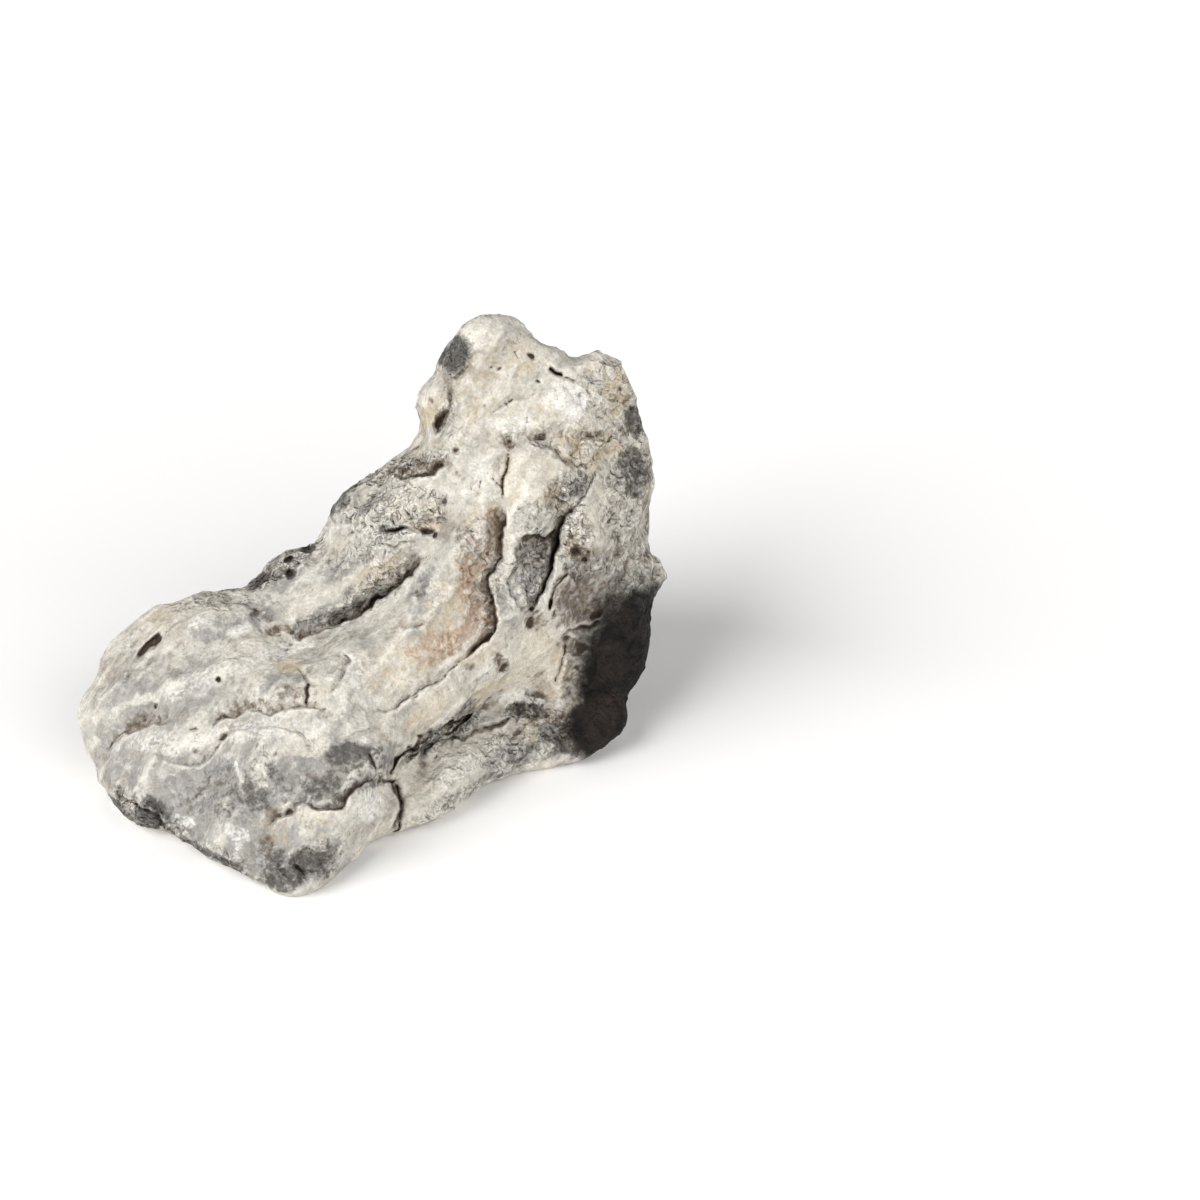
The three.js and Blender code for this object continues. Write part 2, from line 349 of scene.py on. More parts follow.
def facingEye(normals, past=0.0, run=0.3):
    # 0 where the surface has turned from the eye by more than that past edge-on, and 1 a run of the cosine
    # before that
    return smooth((normals @ toEye + past) / run)


def alongPath(across, up, path):
    # distance from a path of sheet points, positive on its left, and the share of its length passed. At a
    # bend, where two stretches are as near, the one that the point lies further beside tells the side
    tie = 0.001
    path = np.array(path, float)
    steps = np.diff(path, axis=0)
    lengths = np.hypot(steps[:, 0], steps[:, 1])
    passed = np.concatenate([[0], np.cumsum(lengths)])
    best = np.full(len(across), 1e9)
    side = np.ones(len(across))
    share = np.zeros(len(across))
    for start, step, length, before in zip(path[:-1], steps, lengths, passed):
        x, y = across - start[0], up - start[1]
        part = np.clip((x * step[0] + y * step[1]) / length**2, 0, 1)
        distance = np.hypot(x - part * step[0], y - part * step[1])
        leftward = (step[0] * y - step[1] * x) / length
        key = distance - tie * np.abs(leftward)
        closer = key < best
        best = np.where(closer, key, best)
        side = np.where(closer, np.where(leftward < 0, -distance, distance), side)
        share = np.where(closer, (before + part * length) / passed[-1], share)
    return side, share


def nearBox(across, up, low, high, reach):
    # which points lie within the reach of a box on the sheet
    inAcross = (across > low[0] - reach) & (across < high[0] + reach)
    return np.flatnonzero(inAcross & (up > low[1] - reach) & (up < high[1] + reach))


def nearPath(across, up, path, reach):
    # the points near a path, with their distance from it and the share of its length passed
    near = nearBox(across, up, np.min(path, axis=0), np.max(path, axis=0), reach)
    return near, *alongPath(across[near], up[near], path)


def nearSpot(across, up, spot, reach):
    # the points near a turned ellipse, and how far out they are: 0 in its middle and 1 on its rim
    centreAcross, centreUp, halfLength, halfWidth, turn = spot
    near = nearBox(across, up, spot[:2], spot[:2], reach * max(halfLength, halfWidth))
    c, s = math.cos(math.radians(turn)), math.sin(math.radians(turn))
    x, y = across[near] - centreAcross, up[near] - centreUp
    return near, np.hypot((x * c + y * s) / halfLength, (y * c - x * s) / halfWidth)


def pathEnds(share, run):
    # 1 along a path, falling to 0 at both ends over that share of its length
    return smooth(share / run) * smooth((1 - share) / run)


def fadeOut(share, full):
    # 1 out to that share of a radius, and 0 from six tenths of a radius further on
    return 1 - smooth((share - full) / 0.6)


def raiseTo(values, near, amounts):
    # the greater of the two at each point near by
    values[near] = np.maximum(values[near], amounts)


relief = {
    # Beds: which way they run, which way leads across them, and how far and in what size they are bent.
    "alongBeds": (0.55, 0.60, 0.58),
    "acrossBeds": (0.78, -0.28, -0.45),
    "bedBend": (2.5, 17.0),
    # What grew on its own: size and height.
    "longFolds": (16.0, 1.8),
    "wideBowls": (13.0, 2.0),
    "brokenFaces": [(6.0, 2.8), (3.0, 1.1)],
    "wornFaces": [(12.0, 1.6), (5.0, 0.5)],
    "creases": (6.5, 0.3),
    "humps": (6.0, 0.45),
    "boredPits": (5.5, 1.8),
    "grain": [(2.6, 0.25), (1.5, 0.2)],
    # Sheets: spacing, height, how far they waver.
    "thickSheets": (8.0, 1.2, 0.7),
    "thinSheets": (3.4, 0.45, 0.8),
    "sheetsBehind": (19.0, 3.2, 0.9),
    # Longest edges allowed: in the first round, on worn ground, how much less on broken ground and more
    # behind, and by a placed line.
    "firstEdge": 3.3,
    "wornEdge": 2.05,
    "finerOnBroken": 0.5,
    "coarserBehind": 1.6,
    "lineEdge": 1.0,
    # Everything below is placed on the sheet. Corrections of the outline: across, up, reach, how far
    # across and how far up.
    "nudges": [
        (66, 178, 9, -1, -2.5), (77, 172, 8, -0.5, -0.5), (82, 163, 7, 1, 3.2), (87, 166, 9, 0, -5),
        (97, 165, 6, 0, -0.5), (45, 150, 6, -3, 0), (39, 138, 6, 2, -1), (22, 119, 7, -3, 1.5),
        (16, 112, 6, -2, 1), (2, 98, 8, -1, 3), (-15, 94, 10, 0, -3), (-30, 90, 9, 0.5, -1.5),
        (-44, 82, 9, 1.2, -1.5), (-55, 66, 9, 1, -0.5), (-49, 26, 6, 1.5, 0.5), (26, 12, 8, 1, -1),
        (103, 50, 8, 3.5, 0),
    ],
    # Broad swells and hollows: across, up, half length, half width, turn in degrees, height.
    "swells": [
        # head
        (62, 169, 9, 7, 0, 0.3), (53.5, 161, 5, 7, -15, -2), (66, 152, 14, 6, 25, 1.6),
        (46.5, 147, 4, 8, -10, 1.6),
        # white facet, second summit and neck
        (89, 147, 9, 7, -20, 2.4), (100, 155, 9, 7, -40, 1.5), (84, 137, 22, 2.6, 3, -1.2),
        # fold under the neck, and crest
        (62, 125, 7, 10, -10, 2.4), (76, 122, 6, 15, 18, 2.6), (91, 114, 5, 14, 22, 3.4),
        (78, 98, 5, 11, -10, -4), (90, 89, 7, 9, -10, -3.5), (67, 108, 3, 10, 3, -3),
        # shoulder
        (38, 118, 14, 7, 22, 2.6), (30, 126.5, 8, 2.5, 20, -1.5), (25, 103, 14, 5, 15, 1.2),
        (28.9, 117.4, 5, 2.6, 35, -1.6),
        # middle plate and the fold beside it
        (47, 78, 17, 12, 35, 1.4), (61, 84, 4, 14, 0, -1), (72, 71, 18, 6, 40, 2.6),
        (56, 60, 14, 4.5, 32, 1.6),
        # lobe
        (-20, 80, 15, 6, 15, 1.8), (1, 81, 7, 4, 0, -1.2), (-22, 60, 10, 4, 25, -1.2), (2, 63, 9, 6, 15, 3),
        (-38, 53, 10, 4, 12, -2),
        # boss under the lobe, and nose
        (-4.3, 40, 9, 8, 0, 3), (-28, 26, 12, 7, -25, -2.2), (16, 33, 9, 5, 0, -2.6),
        (32, 39, 4, 6, 10, 1.4), (0, 25, 4, 4, 0, -1.2), (28, 26, 8, 7, 0, 2.2), (9, 8, 5, 4, 20, -1.6),
        # foot band and right wall
        (60, 38, 24, 8, 25, 3.5), (71, 57, 15, 6, 15, 4), (92, 70, 6, 14, 0, -2.5), (98, 54, 7, 7, 0, 2),
    ],
    # Overlapping plates, raised on the left of each path: lift, how far it runs back, depth of the ground
    # that dips under the plate's lip, how far the dip runs, path.
    "ledges": {
        "trough": (2.6, 6, 7, 5.5, [(46.5, 101.5), (44.5, 99), (42.3, 96), (40.2, 93.6), (36, 90.6),
            (32.9, 88.4), (28, 85), (23, 82), (16, 78.5)]),
        "trough's tail": (1.5, 6, 2.6, 6, [(24, 82.5), (19, 80), (14, 78.4), (11, 76.9), (7.5, 75.8),
            (5, 77)]),
        "fold over the rust plate": (2.7, 5, 2.2, 3.5, [(69.1, 118), (69.3, 111), (68.3, 105.1),
            (68.3, 101.1), (66.3, 97.6), (64.3, 94.1), (64.8, 90.9), (66, 88.6), (66.3, 85.2), (66.3, 79.4),
            (63.7, 75.6), (59.1, 72.1), (55.2, 69.3)]),
        "foot of that fold": (1, 5, 0.8, 3, [(58, 71.3), (55.2, 69.3), (51.3, 64.8), (47.5, 62.5),
            (42.5, 60.6), (38.7, 57.7), (35.9, 54.9), (30.9, 54.5), (27.7, 52.6)]),
        "shell": (0.6, 6, 0.4, 3, [(18.9, 47.1), (22.2, 46.7), (26.3, 48.5), (27.9, 50.3), (27.2, 54.9),
            (21.7, 57.7), (21.2, 59.5)]),
        "lobe shelf": (1.2, 7, 1.9, 8, [(14.8, 54.5), (9.9, 56.2), (5.1, 55.8), (-0.6, 53.1), (-7.8, 55.3),
            (-10.7, 52.9), (-15.5, 51.5), (-20, 50)]),
        "lobe groove": (0.9, 8, 1.8, 9, [(-29.8, 53.3), (-32.7, 50.7), (-37.9, 50), (-42.2, 48.6),
            (-47.5, 46.2), (-51, 43)]),
        "white crest": (0.8, 5, 0.6, 5, [(11, 40), (8, 46.5), (3, 49), (-4, 49.5), (-11, 48), (-14.2, 46.9),
            (-16.5, 43.7), (-22.4, 38.6), (-28.4, 38.6), (-34, 40)]),
        "nose plate": (1.9, 9, 2.8, 3.2, [(32, 15), (33.2, 17.7), (35.5, 21.4), (37.3, 25.1), (35.9, 29.2),
            (34.6, 32.9), (28.6, 33.6), (24.5, 31.5), (21.7, 27.8), (19.9, 25.1), (15.3, 24.6), (10.7, 26),
            (7, 26.5), (4.6, 23.5), (-3.6, 19.8)]),
        "crevice roof": (3, 5, 3.4, 2.2, [(38, 41.5), (39.3, 43.2), (42.9, 47.2), (47.7, 49.4), (54.3, 52),
            (58.5, 54.3), (61, 56.5)]),
        "foot band": (2, 5, 2, 2, [(72, 52.5), (69.5, 51), (64.9, 48.7), (61.2, 48), (58.9, 46.7),
            (56.6, 45.3), (53.4, 46.7), (50.2, 46.2), (48.3, 44.8), (45.6, 43), (43.3, 40.2)]),
        "shoulder shelf": (1.4, 6, 3.4, 4, [(52.5, 128.8), (49.4, 126.7), (47.5, 125.7), (46, 124.9),
            (43, 124.9), (40.5, 125.2), (37.5, 124.7), (35, 125.6)]),
        "slit": (0.7, 4, 0.8, 2.5, [(50, 106.4), (48.5, 106.4), (45, 107.6), (41, 108.6), (33, 108.4),
            (28, 109.3)]),
        "crest rim": (3, 5, 3, 2.6, [(89.5, 115), (87.7, 112.5), (85.7, 109), (85.2, 105.1), (83.7, 101.1),
            (83.2, 97.1), (80.8, 92.1), (78.8, 88.6), (76.3, 84.7), (74.5, 82.5)]),
        "crest above it": (1.2, 4, 1.5, 3, [(97, 127), (95, 124), (91.7, 118), (88, 113)]),
        "second rim": (1.2, 4, 1.8, 2, [(88.7, 96.6), (86.2, 94.6), (83.7, 91.1), (83.2, 87.2),
            (81.8, 84.2)]),
        "hood of the grey hollow": (1.4, 5, 2.8, 7, [(72.5, 107.4), (74.8, 108), (77.8, 108.5),
            (81.2, 107.5), (85.2, 110)]),
        "grey hollow's edge": (0.9, 2.5, 0.8, 2, [(74.5, 82), (69.5, 93), (71.9, 99.5), (71, 104),
            (73.5, 108)]),
        "ledge under the crest": (1.6, 5, 2.2, 3, [(85.1, 78.3), (91.6, 80.2), (95.4, 81.3), (98.1, 83.2)]),
        "neck lip": (0.9, 4, 1.4, 3, [(102, 136.4), (99.2, 135.4), (93.7, 136.2), (90.7, 135.4)]),
        "diagonal lip": (1, 4, 2, 3.5, [(94, 125.6), (86.3, 130.1), (79.3, 135.1)]),
        "head step": (0.5, 6, 0.2, 4, [(86, 151.4), (80.8, 150.8), (75.3, 148.6), (72.3, 148), (69.3, 146),
            (64.4, 143)]),
        "facet step": (1, 5, 0.5, 5, [(107.2, 145.2), (100.2, 148.1), (97.2, 150), (93.7, 154),
            (90.5, 154.5)]),
        "left flake": (1.4, 4, 1.6, 3.5, [(47.5, 137), (51, 141), (52.5, 147), (51, 153)]),
        "oval flake": (0.3, 3, 0.9, 3, [(50.5, 152.5), (54.9, 156), (58.4, 158.5), (59, 164)]),
        "plate dip": (0.7, 4, 0.7, 3, [(46, 81.6), (42.3, 79.8), (39.4, 79.8), (37, 81)]),
        "plate edge": (0.8, 5, 1.3, 4, [(21.1, 72.8), (22.2, 69), (20.7, 66.7), (20.3, 64.1),
            (16.5, 58.7)]),
        "bump wall": (0.6, 3, 1.6, 1.6, [(10.6, 55.5), (9.4, 60), (8.8, 64), (6, 68)]),
        "flow ridge": (0.9, 6, 0.3, 7, [(1, 76), (-8, 71), (-19, 68.5), (-31, 65)]),
        "lobe back": (1, 5, 1.4, 5, [(-2, 83), (-9, 86), (-17, 87.5), (-25, 83), (-32, 79)]),
        "broken edge": (0.8, 5, 2.2, 1.6, [(-52, 31), (-46, 28.6), (-39.6, 26.4), (-34.8, 22),
            (-29.7, 17.6), (-24, 14.8), (-17, 11), (-8, 7)]),
        "outer broken edge": (0.3, 2, 1.8, 1.4, [(-49, 27), (-42, 22.6), (-34, 17.8), (-26, 13.6),
            (-18, 9.6)]),
    },
    # Cracks and grooves: width, depth and path.
    "cracks": [
        (1.2, 2.6, [(85.3, 109), (85.1, 105), (83.3, 101), (82.8, 97), (80.8, 92.5), (78.5, 89)]),
        (0.8, 1.8, [(28.1, 43.4), (28.3, 40.5), (29, 38), (31.8, 33.8), (35.5, 33.3), (37.5, 35)]),
        (0.8, 2, [(35.5, 33.3), (36.9, 29.7), (38, 25.5), (37, 20), (34, 17)]),
        (0.8, 2.2, [(9.4, 64), (9.8, 60.9), (9.9, 56.4)]),
        (1.1, 3, [(82, 157.6), (84, 156.2), (86.3, 155.2)]),
        (0.6, 1, [(84, 156.2), (87, 154.8), (90, 153.2)]),
        (1.2, 2.5, [(51.9, 145.6), (51.2, 142.5), (48.4, 139.1)]),
        (1, 2, [(43.5, 135.6), (41.5, 132.1), (38, 128.6), (35, 125.9)]),
        (1, 1.6, [(70.3, 133), (69.8, 126.9), (68.3, 121), (68.6, 117.5)]),
        (0.7, 0.9, [(61.8, 124.5), (61.3, 118.5)]),
        (0.7, 0.9, [(57.9, 122.5), (61.3, 118.5)]),
        (0.7, 0.9, [(65.8, 124), (68.3, 121)]),
        (0.6, 0.8, [(69.3, 145.4), (72, 148.2)]),
        (0.7, 0.9, [(76, 143.6), (76, 140)]),
        (0.6, 0.7, [(14, 110), (22, 111.4), (29.4, 109.8), (32.8, 109)]),
        (0.7, 0.7, [(27, 106), (32, 105), (36, 103.8), (40, 105.6), (44, 105)]),
        (0.9, 1.6, [(86.6, 76), (86.2, 71), (85.9, 67.6), (84.3, 64.9), (84.1, 61.8)]),
        (1.3, 2.2, [(37, 38.5), (42, 42), (48, 46), (56, 50.5), (60, 56)]),
        (1, 2.2, [(33, 34.5), (35.2, 37.5), (36.2, 40.5), (39, 42.5), (42.5, 43.6)]),
        (0.8, 1.6, [(61, 48.8), (66, 49.8), (68.5, 51.3), (71, 52.4)]),
        (0.6, 0.8, [(82, 49), (86, 44), (90, 41)]),
        (0.8, 0.8, [(-51.5, 43), (-47, 46), (-44, 47.5)]),
    ],
    # Long folds: width, height and path.
    "folds": [
        (5, 2, [(8, 86), (20, 94), (34, 102), (46, 107)]),
        (6, 2.2, [(-38, 57), (-20, 65), (-5, 70.5), (6, 74.5)]),
        (1, 0.6, [(74, 109.2), (71.9, 105.3), (71.4, 100.9), (67.9, 97.3), (65.3, 95.1)]),
        (0.7, 0.5, [(-12.3, 40), (-11.4, 35.9), (-9.6, 34.9), (-10, 31.7), (-10.7, 28.5), (-7.7, 26.7)]),
        (2, 0.9, [(-44, 57), (-36, 61), (-26, 64)]),
        (1.6, 0.7, [(49, 66), (57, 73), (62, 79)]),
        (3, 1.4, [(-30, 43), (-16, 47.5), (-3, 50), (9, 48.5)]),
        (5, 1.6, [(45, 33), (58, 40.5), (72, 47)]),
    ],
    # Pits: across, up, half length, half width, turn in degrees, depth.
    "pits": [
        # lobe
        (-38.2, 73.5, 6, 1.4, 50, 2.6), (-35.6, 75.6, 3.6, 1.3, 52, 2), (-16.9, 63.9, 1.3, 1.1, 0, 2),
        (-35.1, 56, 1, 1.2, 0, 1.2), (-43.2, 64.9, 1, 1.4, 0, 1), (-24.5, 48.5, 1.8, 0.9, 20, 1.2),
        (-15.6, 46.9, 2.4, 1.3, 25, 1.6), (-23.8, 43, 1.8, 1.4, 0, 1), (-34.4, 41.8, 1, 2, 0, 0.8),
        (0.5, 78.6, 2.6, 1.6, 10, 1.4), (-5.9, 84, 1.9, 1.6, 0, 1.6),
        # ledge behind the trough
        (10, 103.3, 2, 1.2, 10, 3), (4.5, 95.4, 1.6, 1.7, 45, 3), (4.6, 100, 2, 0.9, 30, 2),
        (-3.5, 94.5, 2.6, 1.1, 45, 2.4), (7.5, 98.7, 0.8, 0.6, 0, 1.4),
        # head
        (76.3, 161, 1.6, 1.1, -30, 1.8), (71.8, 161, 1.4, 0.7, -60, 1), (67.3, 157.8, 0.8, 0.7, 0, 1.2),
        (64.9, 157.8, 0.8, 0.6, 0, 0.8), (79, 153.3, 0.8, 0.7, -40, 1.4), (46.5, 147.8, 0.9, 0.8, 0, 1.2),
        (62, 146.3, 0.9, 0.8, 0, 0.8), (49.9, 141.6, 4.6, 1.4, 62, 2.2),
        # neck and second summit
        (54.7, 132.6, 1.5, 1, 45, 1.4), (69.6, 136, 3.6, 1.6, -25, 1.3), (70.6, 134.4, 1.6, 2.4, 0, 1.4),
        (79.6, 136.6, 3.4, 1.6, -10, 1.6), (95, 138, 6, 1.8, 0, 1.2), (98.4, 159.2, 1.1, 1, 0, 1.2),
        (103.4, 151, 0.9, 0.8, 0, 1.2),
        # fold, crest and right wall
        (68.7, 67.2, 1.6, 2.5, -20, 3.5), (66.8, 70.4, 2, 2.2, 0, 1.3), (92.7, 100.1, 1.4, 1.6, 45, 2),
        (90.5, 102.6, 2.6, 2.2, 30, 1.8), (76.3, 81.1, 2.2, 2.8, 0, 2.2), (76.9, 88.2, 2, 1.5, 0, 0.8),
        (82.5, 86.6, 0.8, 2, -10, 2.4), (96, 83.3, 2.6, 1.6, 30, 2.4), (79, 78.8, 0.5, 0.5, 0, 1),
        (86.8, 76.9, 2, 1.6, 0, 1.6), (91.4, 73.5, 3.4, 4, 0, 1.8),
        # plates, nose, shoulder and crevice
        (43.7, 89.7, 2, 1.1, -10, 0.7), (7, 7.6, 2.4, 0.9, -45, 2.2), (36.7, 109.1, 3.8, 0.8, 0, 3),
        (46, 108.6, 3.4, 1.4, -12, 2), (48.9, 107.2, 1, 1, 0, 2.4), (67.5, 113, 1.6, 4.5, 3, 0.9),
        (58, 52.6, 2, 0.7, 50, 2), (42.8, 47.3, 0.8, 0.6, 0, 1.5), (46.7, 39.5, 0.6, 0.5, 0, 1),
        (48.3, 40.9, 0.9, 0.5, 40, 1), (4.2, 24.2, 1.8, 1.2, 40, 1.6), (14.6, 54.9, 1, 0.6, 0, 1),
        (61.5, 64, 3.6, 1, 38, 0.7), (41.5, 59.3, 1.6, 0.8, 35, 1.4),
    ],
    # Shards that stand in the crevice: as pits, but up.
    "shards": [
        (37.4, 39.8, 3.6, 0.9, 52, 2.2), (43.7, 43.9, 6, 1.7, 42, 2.4), (54.3, 49.4, 6.5, 1.6, 32, 1.8),
        (60.5, 51.5, 4, 1, 45, 1.4), (-49.5, 29, 2, 1.6, 0, 1.4), (-43.6, 26.2, 3.2, 1.4, -25, 1.2),
        (-30.2, 21, 3.6, 1.6, -10, 1.2), (-26.8, 17, 3, 1.6, -25, 1.2), (-22, 12.4, 2.4, 1.2, -25, 1),
    ],
    # How far placed lines waver, coarsely and finely, and in what size.
    "warp": (1.0, 7.0, 0.4, 2.4),
    # Broken ground between the plates that water has smoothed: across, up, half length, half width, turn in
    # degrees, how rough.
    "roughGround": [
        (2, 98, 15, 4, 35, 0.9), (17, 116, 13, 4, 55, 0.7), (36, 127, 20, 4, 15, 0.9),
        (36, 114, 17, 10, 10, 0.85), (28, 102, 16, 5, 20, 0.6), (31, 92, 15, 6, 36, 0.8),
        (52, 143, 4, 14, 0, 0.5), (77, 99, 7, 14, -8, 0.85), (90, 106, 7, 18, 10, 0.8),
        (88, 122, 9, 5, 30, 0.9), (90, 86, 9, 10, 0, 0.35), (52, 49, 16, 4, 34, 0.9), (75, 55, 8, 4, 5, 1),
        (80, 48, 12, 8, 15, 0.8), (54, 37, 13, 6, 26, 0.45), (70, 44, 13, 6, 22, 0.8),
        (54.3, 161, 5, 7, -15, 0.75), (60, 31, 26, 3, 27, 0.7), (-38, 23, 18, 5, -38, 0.9),
        (-12, 9, 18, 4, -25, 0.6), (9, 8, 13, 7, 20, 0.6), (99, 151, 12, 12, 0, 0.6),
        (84, 137, 22, 5, 0, 0.5), (61, 95, 8, 21, 8, 0.6), (74, 88, 8, 6, 0, 0.5), (96, 132, 10, 6, 0, 0.6),
        (78, 114, 8, 5, 30, 0.6), (46, 92, 6, 8, 0, 0.35), (14, 82, 12, 4, 20, 0.7),
        (-20, 88, 18, 4, 0, 0.5), (108, 110, 12, 50, 0, 0.7), (102, 60, 12, 24, 0, 0.6),
    ],
}

bedding = unit(np.array(relief["alongBeds"]))
acrossBedding = unit(np.array(relief["acrossBeds"]))
throughBedding = np.cross(bedding, acrossBedding)


def warped(points, across, up):
    # placed lines waver: each sheet place shifts by a coarse and a fine noise
    coarse, coarseSize, fine, fineSize = relief["warp"]
    shiftAcross = coarse * noise(points, coarseSize, 11) + fine * noise(points, fineSize, 12)
    shiftUp = coarse * noise(points, coarseSize, 13) + fine * noise(points, fineSize, 14)
    return across + shiftAcross, up + shiftUp


def placedSwells(points, normals):
    # each swell is height * (1 - share^2)^2, where its share is 1 at one and a half radii
    across, up = sheetPlaces(points)
    height = np.zeros(len(points))
    for *spot, lift in relief["swells"]:
        near, share = nearSpot(across, up, spot, 1.5)
        height[near] += lift * np.maximum(1 - (share / 1.5) ** 2, 0) ** 2
    return height * facingEye(normals)


def placedNudges(points):
    # how far the nudges push each point across and up the sheet, fading as the swells do
    across, up = sheetPlaces(points)
    push = np.zeros((len(points), 3))
    for centreAcross, centreUp, reach, pushAcross, pushUp in relief["nudges"]:
        near, share = nearSpot(across, up, (centreAcross, centreUp, reach, reach, 0), 1.5)
        weight = np.maximum(1 - (share / 1.5) ** 2, 0) ** 2
        push[near] += weight[:, None] * (pushAcross * rightward + pushUp * upSheet)
    return push


def placedRelief(points, normals):
    # the ledges, cracks, folds, pits and shards that are placed on the front: their height, how close the
    # nearest line is, and the shares of the ground under a lip and of the lip itself
    across, up = warped(points, *sheetPlaces(points))
    cusps = 1.1 * np.abs(noise(points, 5, 15)) - 0.3
    waxing = 0.75 + 0.5 * smooth(noise(points, 15, 16) + 0.5)
    height, close, under, lip = np.zeros((4, len(points)))
    for lift, run, gap, gapRun, path in relief["ledges"].values():
        # the lip's wall rises within 0.8 mm, behind it the lift falls away as exp(-distance / run), and
        # before it the ground dips as (1 - distance / gapRun) ^ 1.3
        near, side, share = nearPath(across, up, path, max(3.5 * run, gapRun))
        side += cusps[near]
        wall = smooth(side / 0.8 + 0.5)
        ends = pathEnds(share, 0.12) * waxing[near]
        behind = np.maximum(side, 0)
        dip = (1 - wall) * np.clip(1 + side / gapRun, 0, 1) ** 1.3
        height[near] += (lift * wall * np.exp(-behind / run) - gap * dip) * ends
        raiseTo(close, near, np.exp(-((side / 1.4) ** 2)) * smooth(3 * ends))
        raiseTo(under, near, dip * ends * min((lift + gap) / 5, 1))
        raiseTo(lip, near, wall * np.exp(-behind / 1.2) * ends)
    for width, depth, path in relief["cracks"]:
        # a crack is a bell that fades at both ends
        near, side, share = nearPath(across, up, path, 3 * width)
        ends = pathEnds(share, 0.15) * waxing[near]
        bell = np.exp(-((side / (0.6 * width)) ** 2)) * ends
        height[near] -= depth * bell
        raiseTo(close, near, np.exp(-((side / 1.2) ** 2)) * smooth(3 * ends))
        raiseTo(under, near, bell**2 * min(depth / 1.5, 1))
    for width, lift, path in relief["folds"]:
        # a fold is a wider bell
        near, side, share = nearPath(across, up, path, 3 * width)
        height[near] += lift * np.exp(-((side / width) ** 2)) * pathEnds(share, 0.2)
    for sign, kind in ((-1, "pits"), (1, "shards")):
        # a pit or shard is flat to a third of its radius and fades to its rim
        for *spot, size in relief[kind]:
            near, share = nearSpot(across, up, spot, 1.3)
            inside = 1 - smooth((share - 0.35) / 0.8)
            height[near] += sign * size * inside
            raiseTo(close, near, smooth((1.4 - share) / 0.5))
            if sign < 0:
                raiseTo(under, near, inside * min(size / 2, 1))
    facing = facingEye(normals)
    return height * facing, close * facing, under * facing, lip * facing


def roughShare(points, normals):
    # 1 on broken ground, down to 0.1 on the smooth plates of the front, and 0.2 to 0.75 in patches behind
    across, up = sheetPlaces(points)
    ragged = 0.3 * noise(points, 7, 47)
    rough = np.full(len(points), 0.1)
    for *spot, amount in relief["roughGround"]:
        near, share = nearSpot(across, up, spot, 1.6)
        raiseTo(rough, near, amount * fadeOut(share + ragged[near], 0.6))
    front = facingEye(normals)
    behind = 0.2 + 0.55 * smooth((noise(points, 26, 48) + 0.2) / 0.4)
    return rough * front + behind * (1 - front)


def bedPlaces(points):
    # places along, across and through the beds, squeezed along them so that patterns run with the beds, and
    # bent by a slow noise
    bend, bendSize = relief["bedBend"]
    bent = points + bend * np.stack([noise(points, bendSize, seed) for seed in (31, 32, 33)], axis=1)
    return np.stack([bent @ bedding / 2, bent @ acrossBedding, bent @ throughBedding / 1.2], axis=1)


def scallops(points, size, seed):
    # bowls that meet in sharp ridges, as running water leaves them: the squared distance to the nearest
    # cell point, from -0.4 in its middle to about 0.6 on the ridges
    distance, _ = cellNoise(points, size, seed)
    return np.minimum(distance, 1) ** 2 * 1.4 - 0.4


def facets(points, size, seed):
    # shallow bowls tilted at random that meet in sharp ridges, as broken and water-worn limestone has them:
    # the least, over the cell points near by, of 0.8 distance^2 + half the random slope times the way there
    # + a random height
    place = points / size
    place = place + 0.25 * np.stack([noise(place, 0.9, seed + axis) for axis in (1, 2, 3)], axis=1)
    cell = np.floor(place)
    least = np.full(len(points), 9.0)
    for step in np.ndindex(3, 3, 3):
        corner = cell + np.array(step) - 1
        away = place - corner - cellValues(corner, seed)
        slope = cellValues(corner + 5096, seed) * 2 - 1
        rise = 0.8 * np.sum(away**2, axis=1) + 0.5 * np.sum(away * slope, axis=1) + 0.15 * slope[:, 0]
        least = np.minimum(least, rise)
    return least - 0.08


def lappedSheets(points, spacing, height, waver, seed):
    # thin sheets that lie over each other like roof tiles: across the beds each one climbs evenly to its
    # height and drops off in the last eighth, only here and there
    place = points @ acrossBedding + waver * spacing * noise(points, 3 * spacing, seed)
    place = place + 0.25 * waver * spacing * noise(points, spacing, seed + 1)
    part = place / spacing - np.floor(place / spacing)
    present = smooth((noise(points, 3.5 * spacing, seed + 2) + 0.15) / 0.3)
    return height * present * (part * smooth((1 - part) / 0.12) - 0.45)


def boredPits(points, rough):
    # round pits in clusters on broken ground: two cells in five have one, a third of a cell in radius
    size, depth = relief["boredPits"]
    distance, value = cellNoise(points, size, 28)
    cluster = smooth((noise(points, 22, 29) - 0.02) / 0.3) * rough
    return -depth * cluster * (value < 0.4) * (1 - smooth((distance - 0.1) / 0.22))


def broadTraits(points, normals):
    # long folds with sharp creases between them, wide scallops, and the placed swells and nudges
    beds = bedPlaces(points)
    rough = roughShare(points, normals)
    foldSize, foldHeight = relief["longFolds"]
    bowlSize, bowlHeight = relief["wideBowls"]
    folds = foldHeight * (2 * np.abs(layeredNoise(beds, foldSize, 21, 2)) - 0.5)
    bowls = bowlHeight * scallops(beds, bowlSize, 22)
    natural = (folds + bowls) * (1 - 0.7 * facingEye(normals)) * (0.5 + 0.5 * rough)
    shift = normals * natural[:, None] + unit(eye - points) * placedSwells(points, normals)[:, None]
    shift = (shift + placedNudges(points)) * smooth(points[:, 2] / 6)[:, None]
    return np.column_stack([shift, np.full(len(points), relief["firstEdge"])])


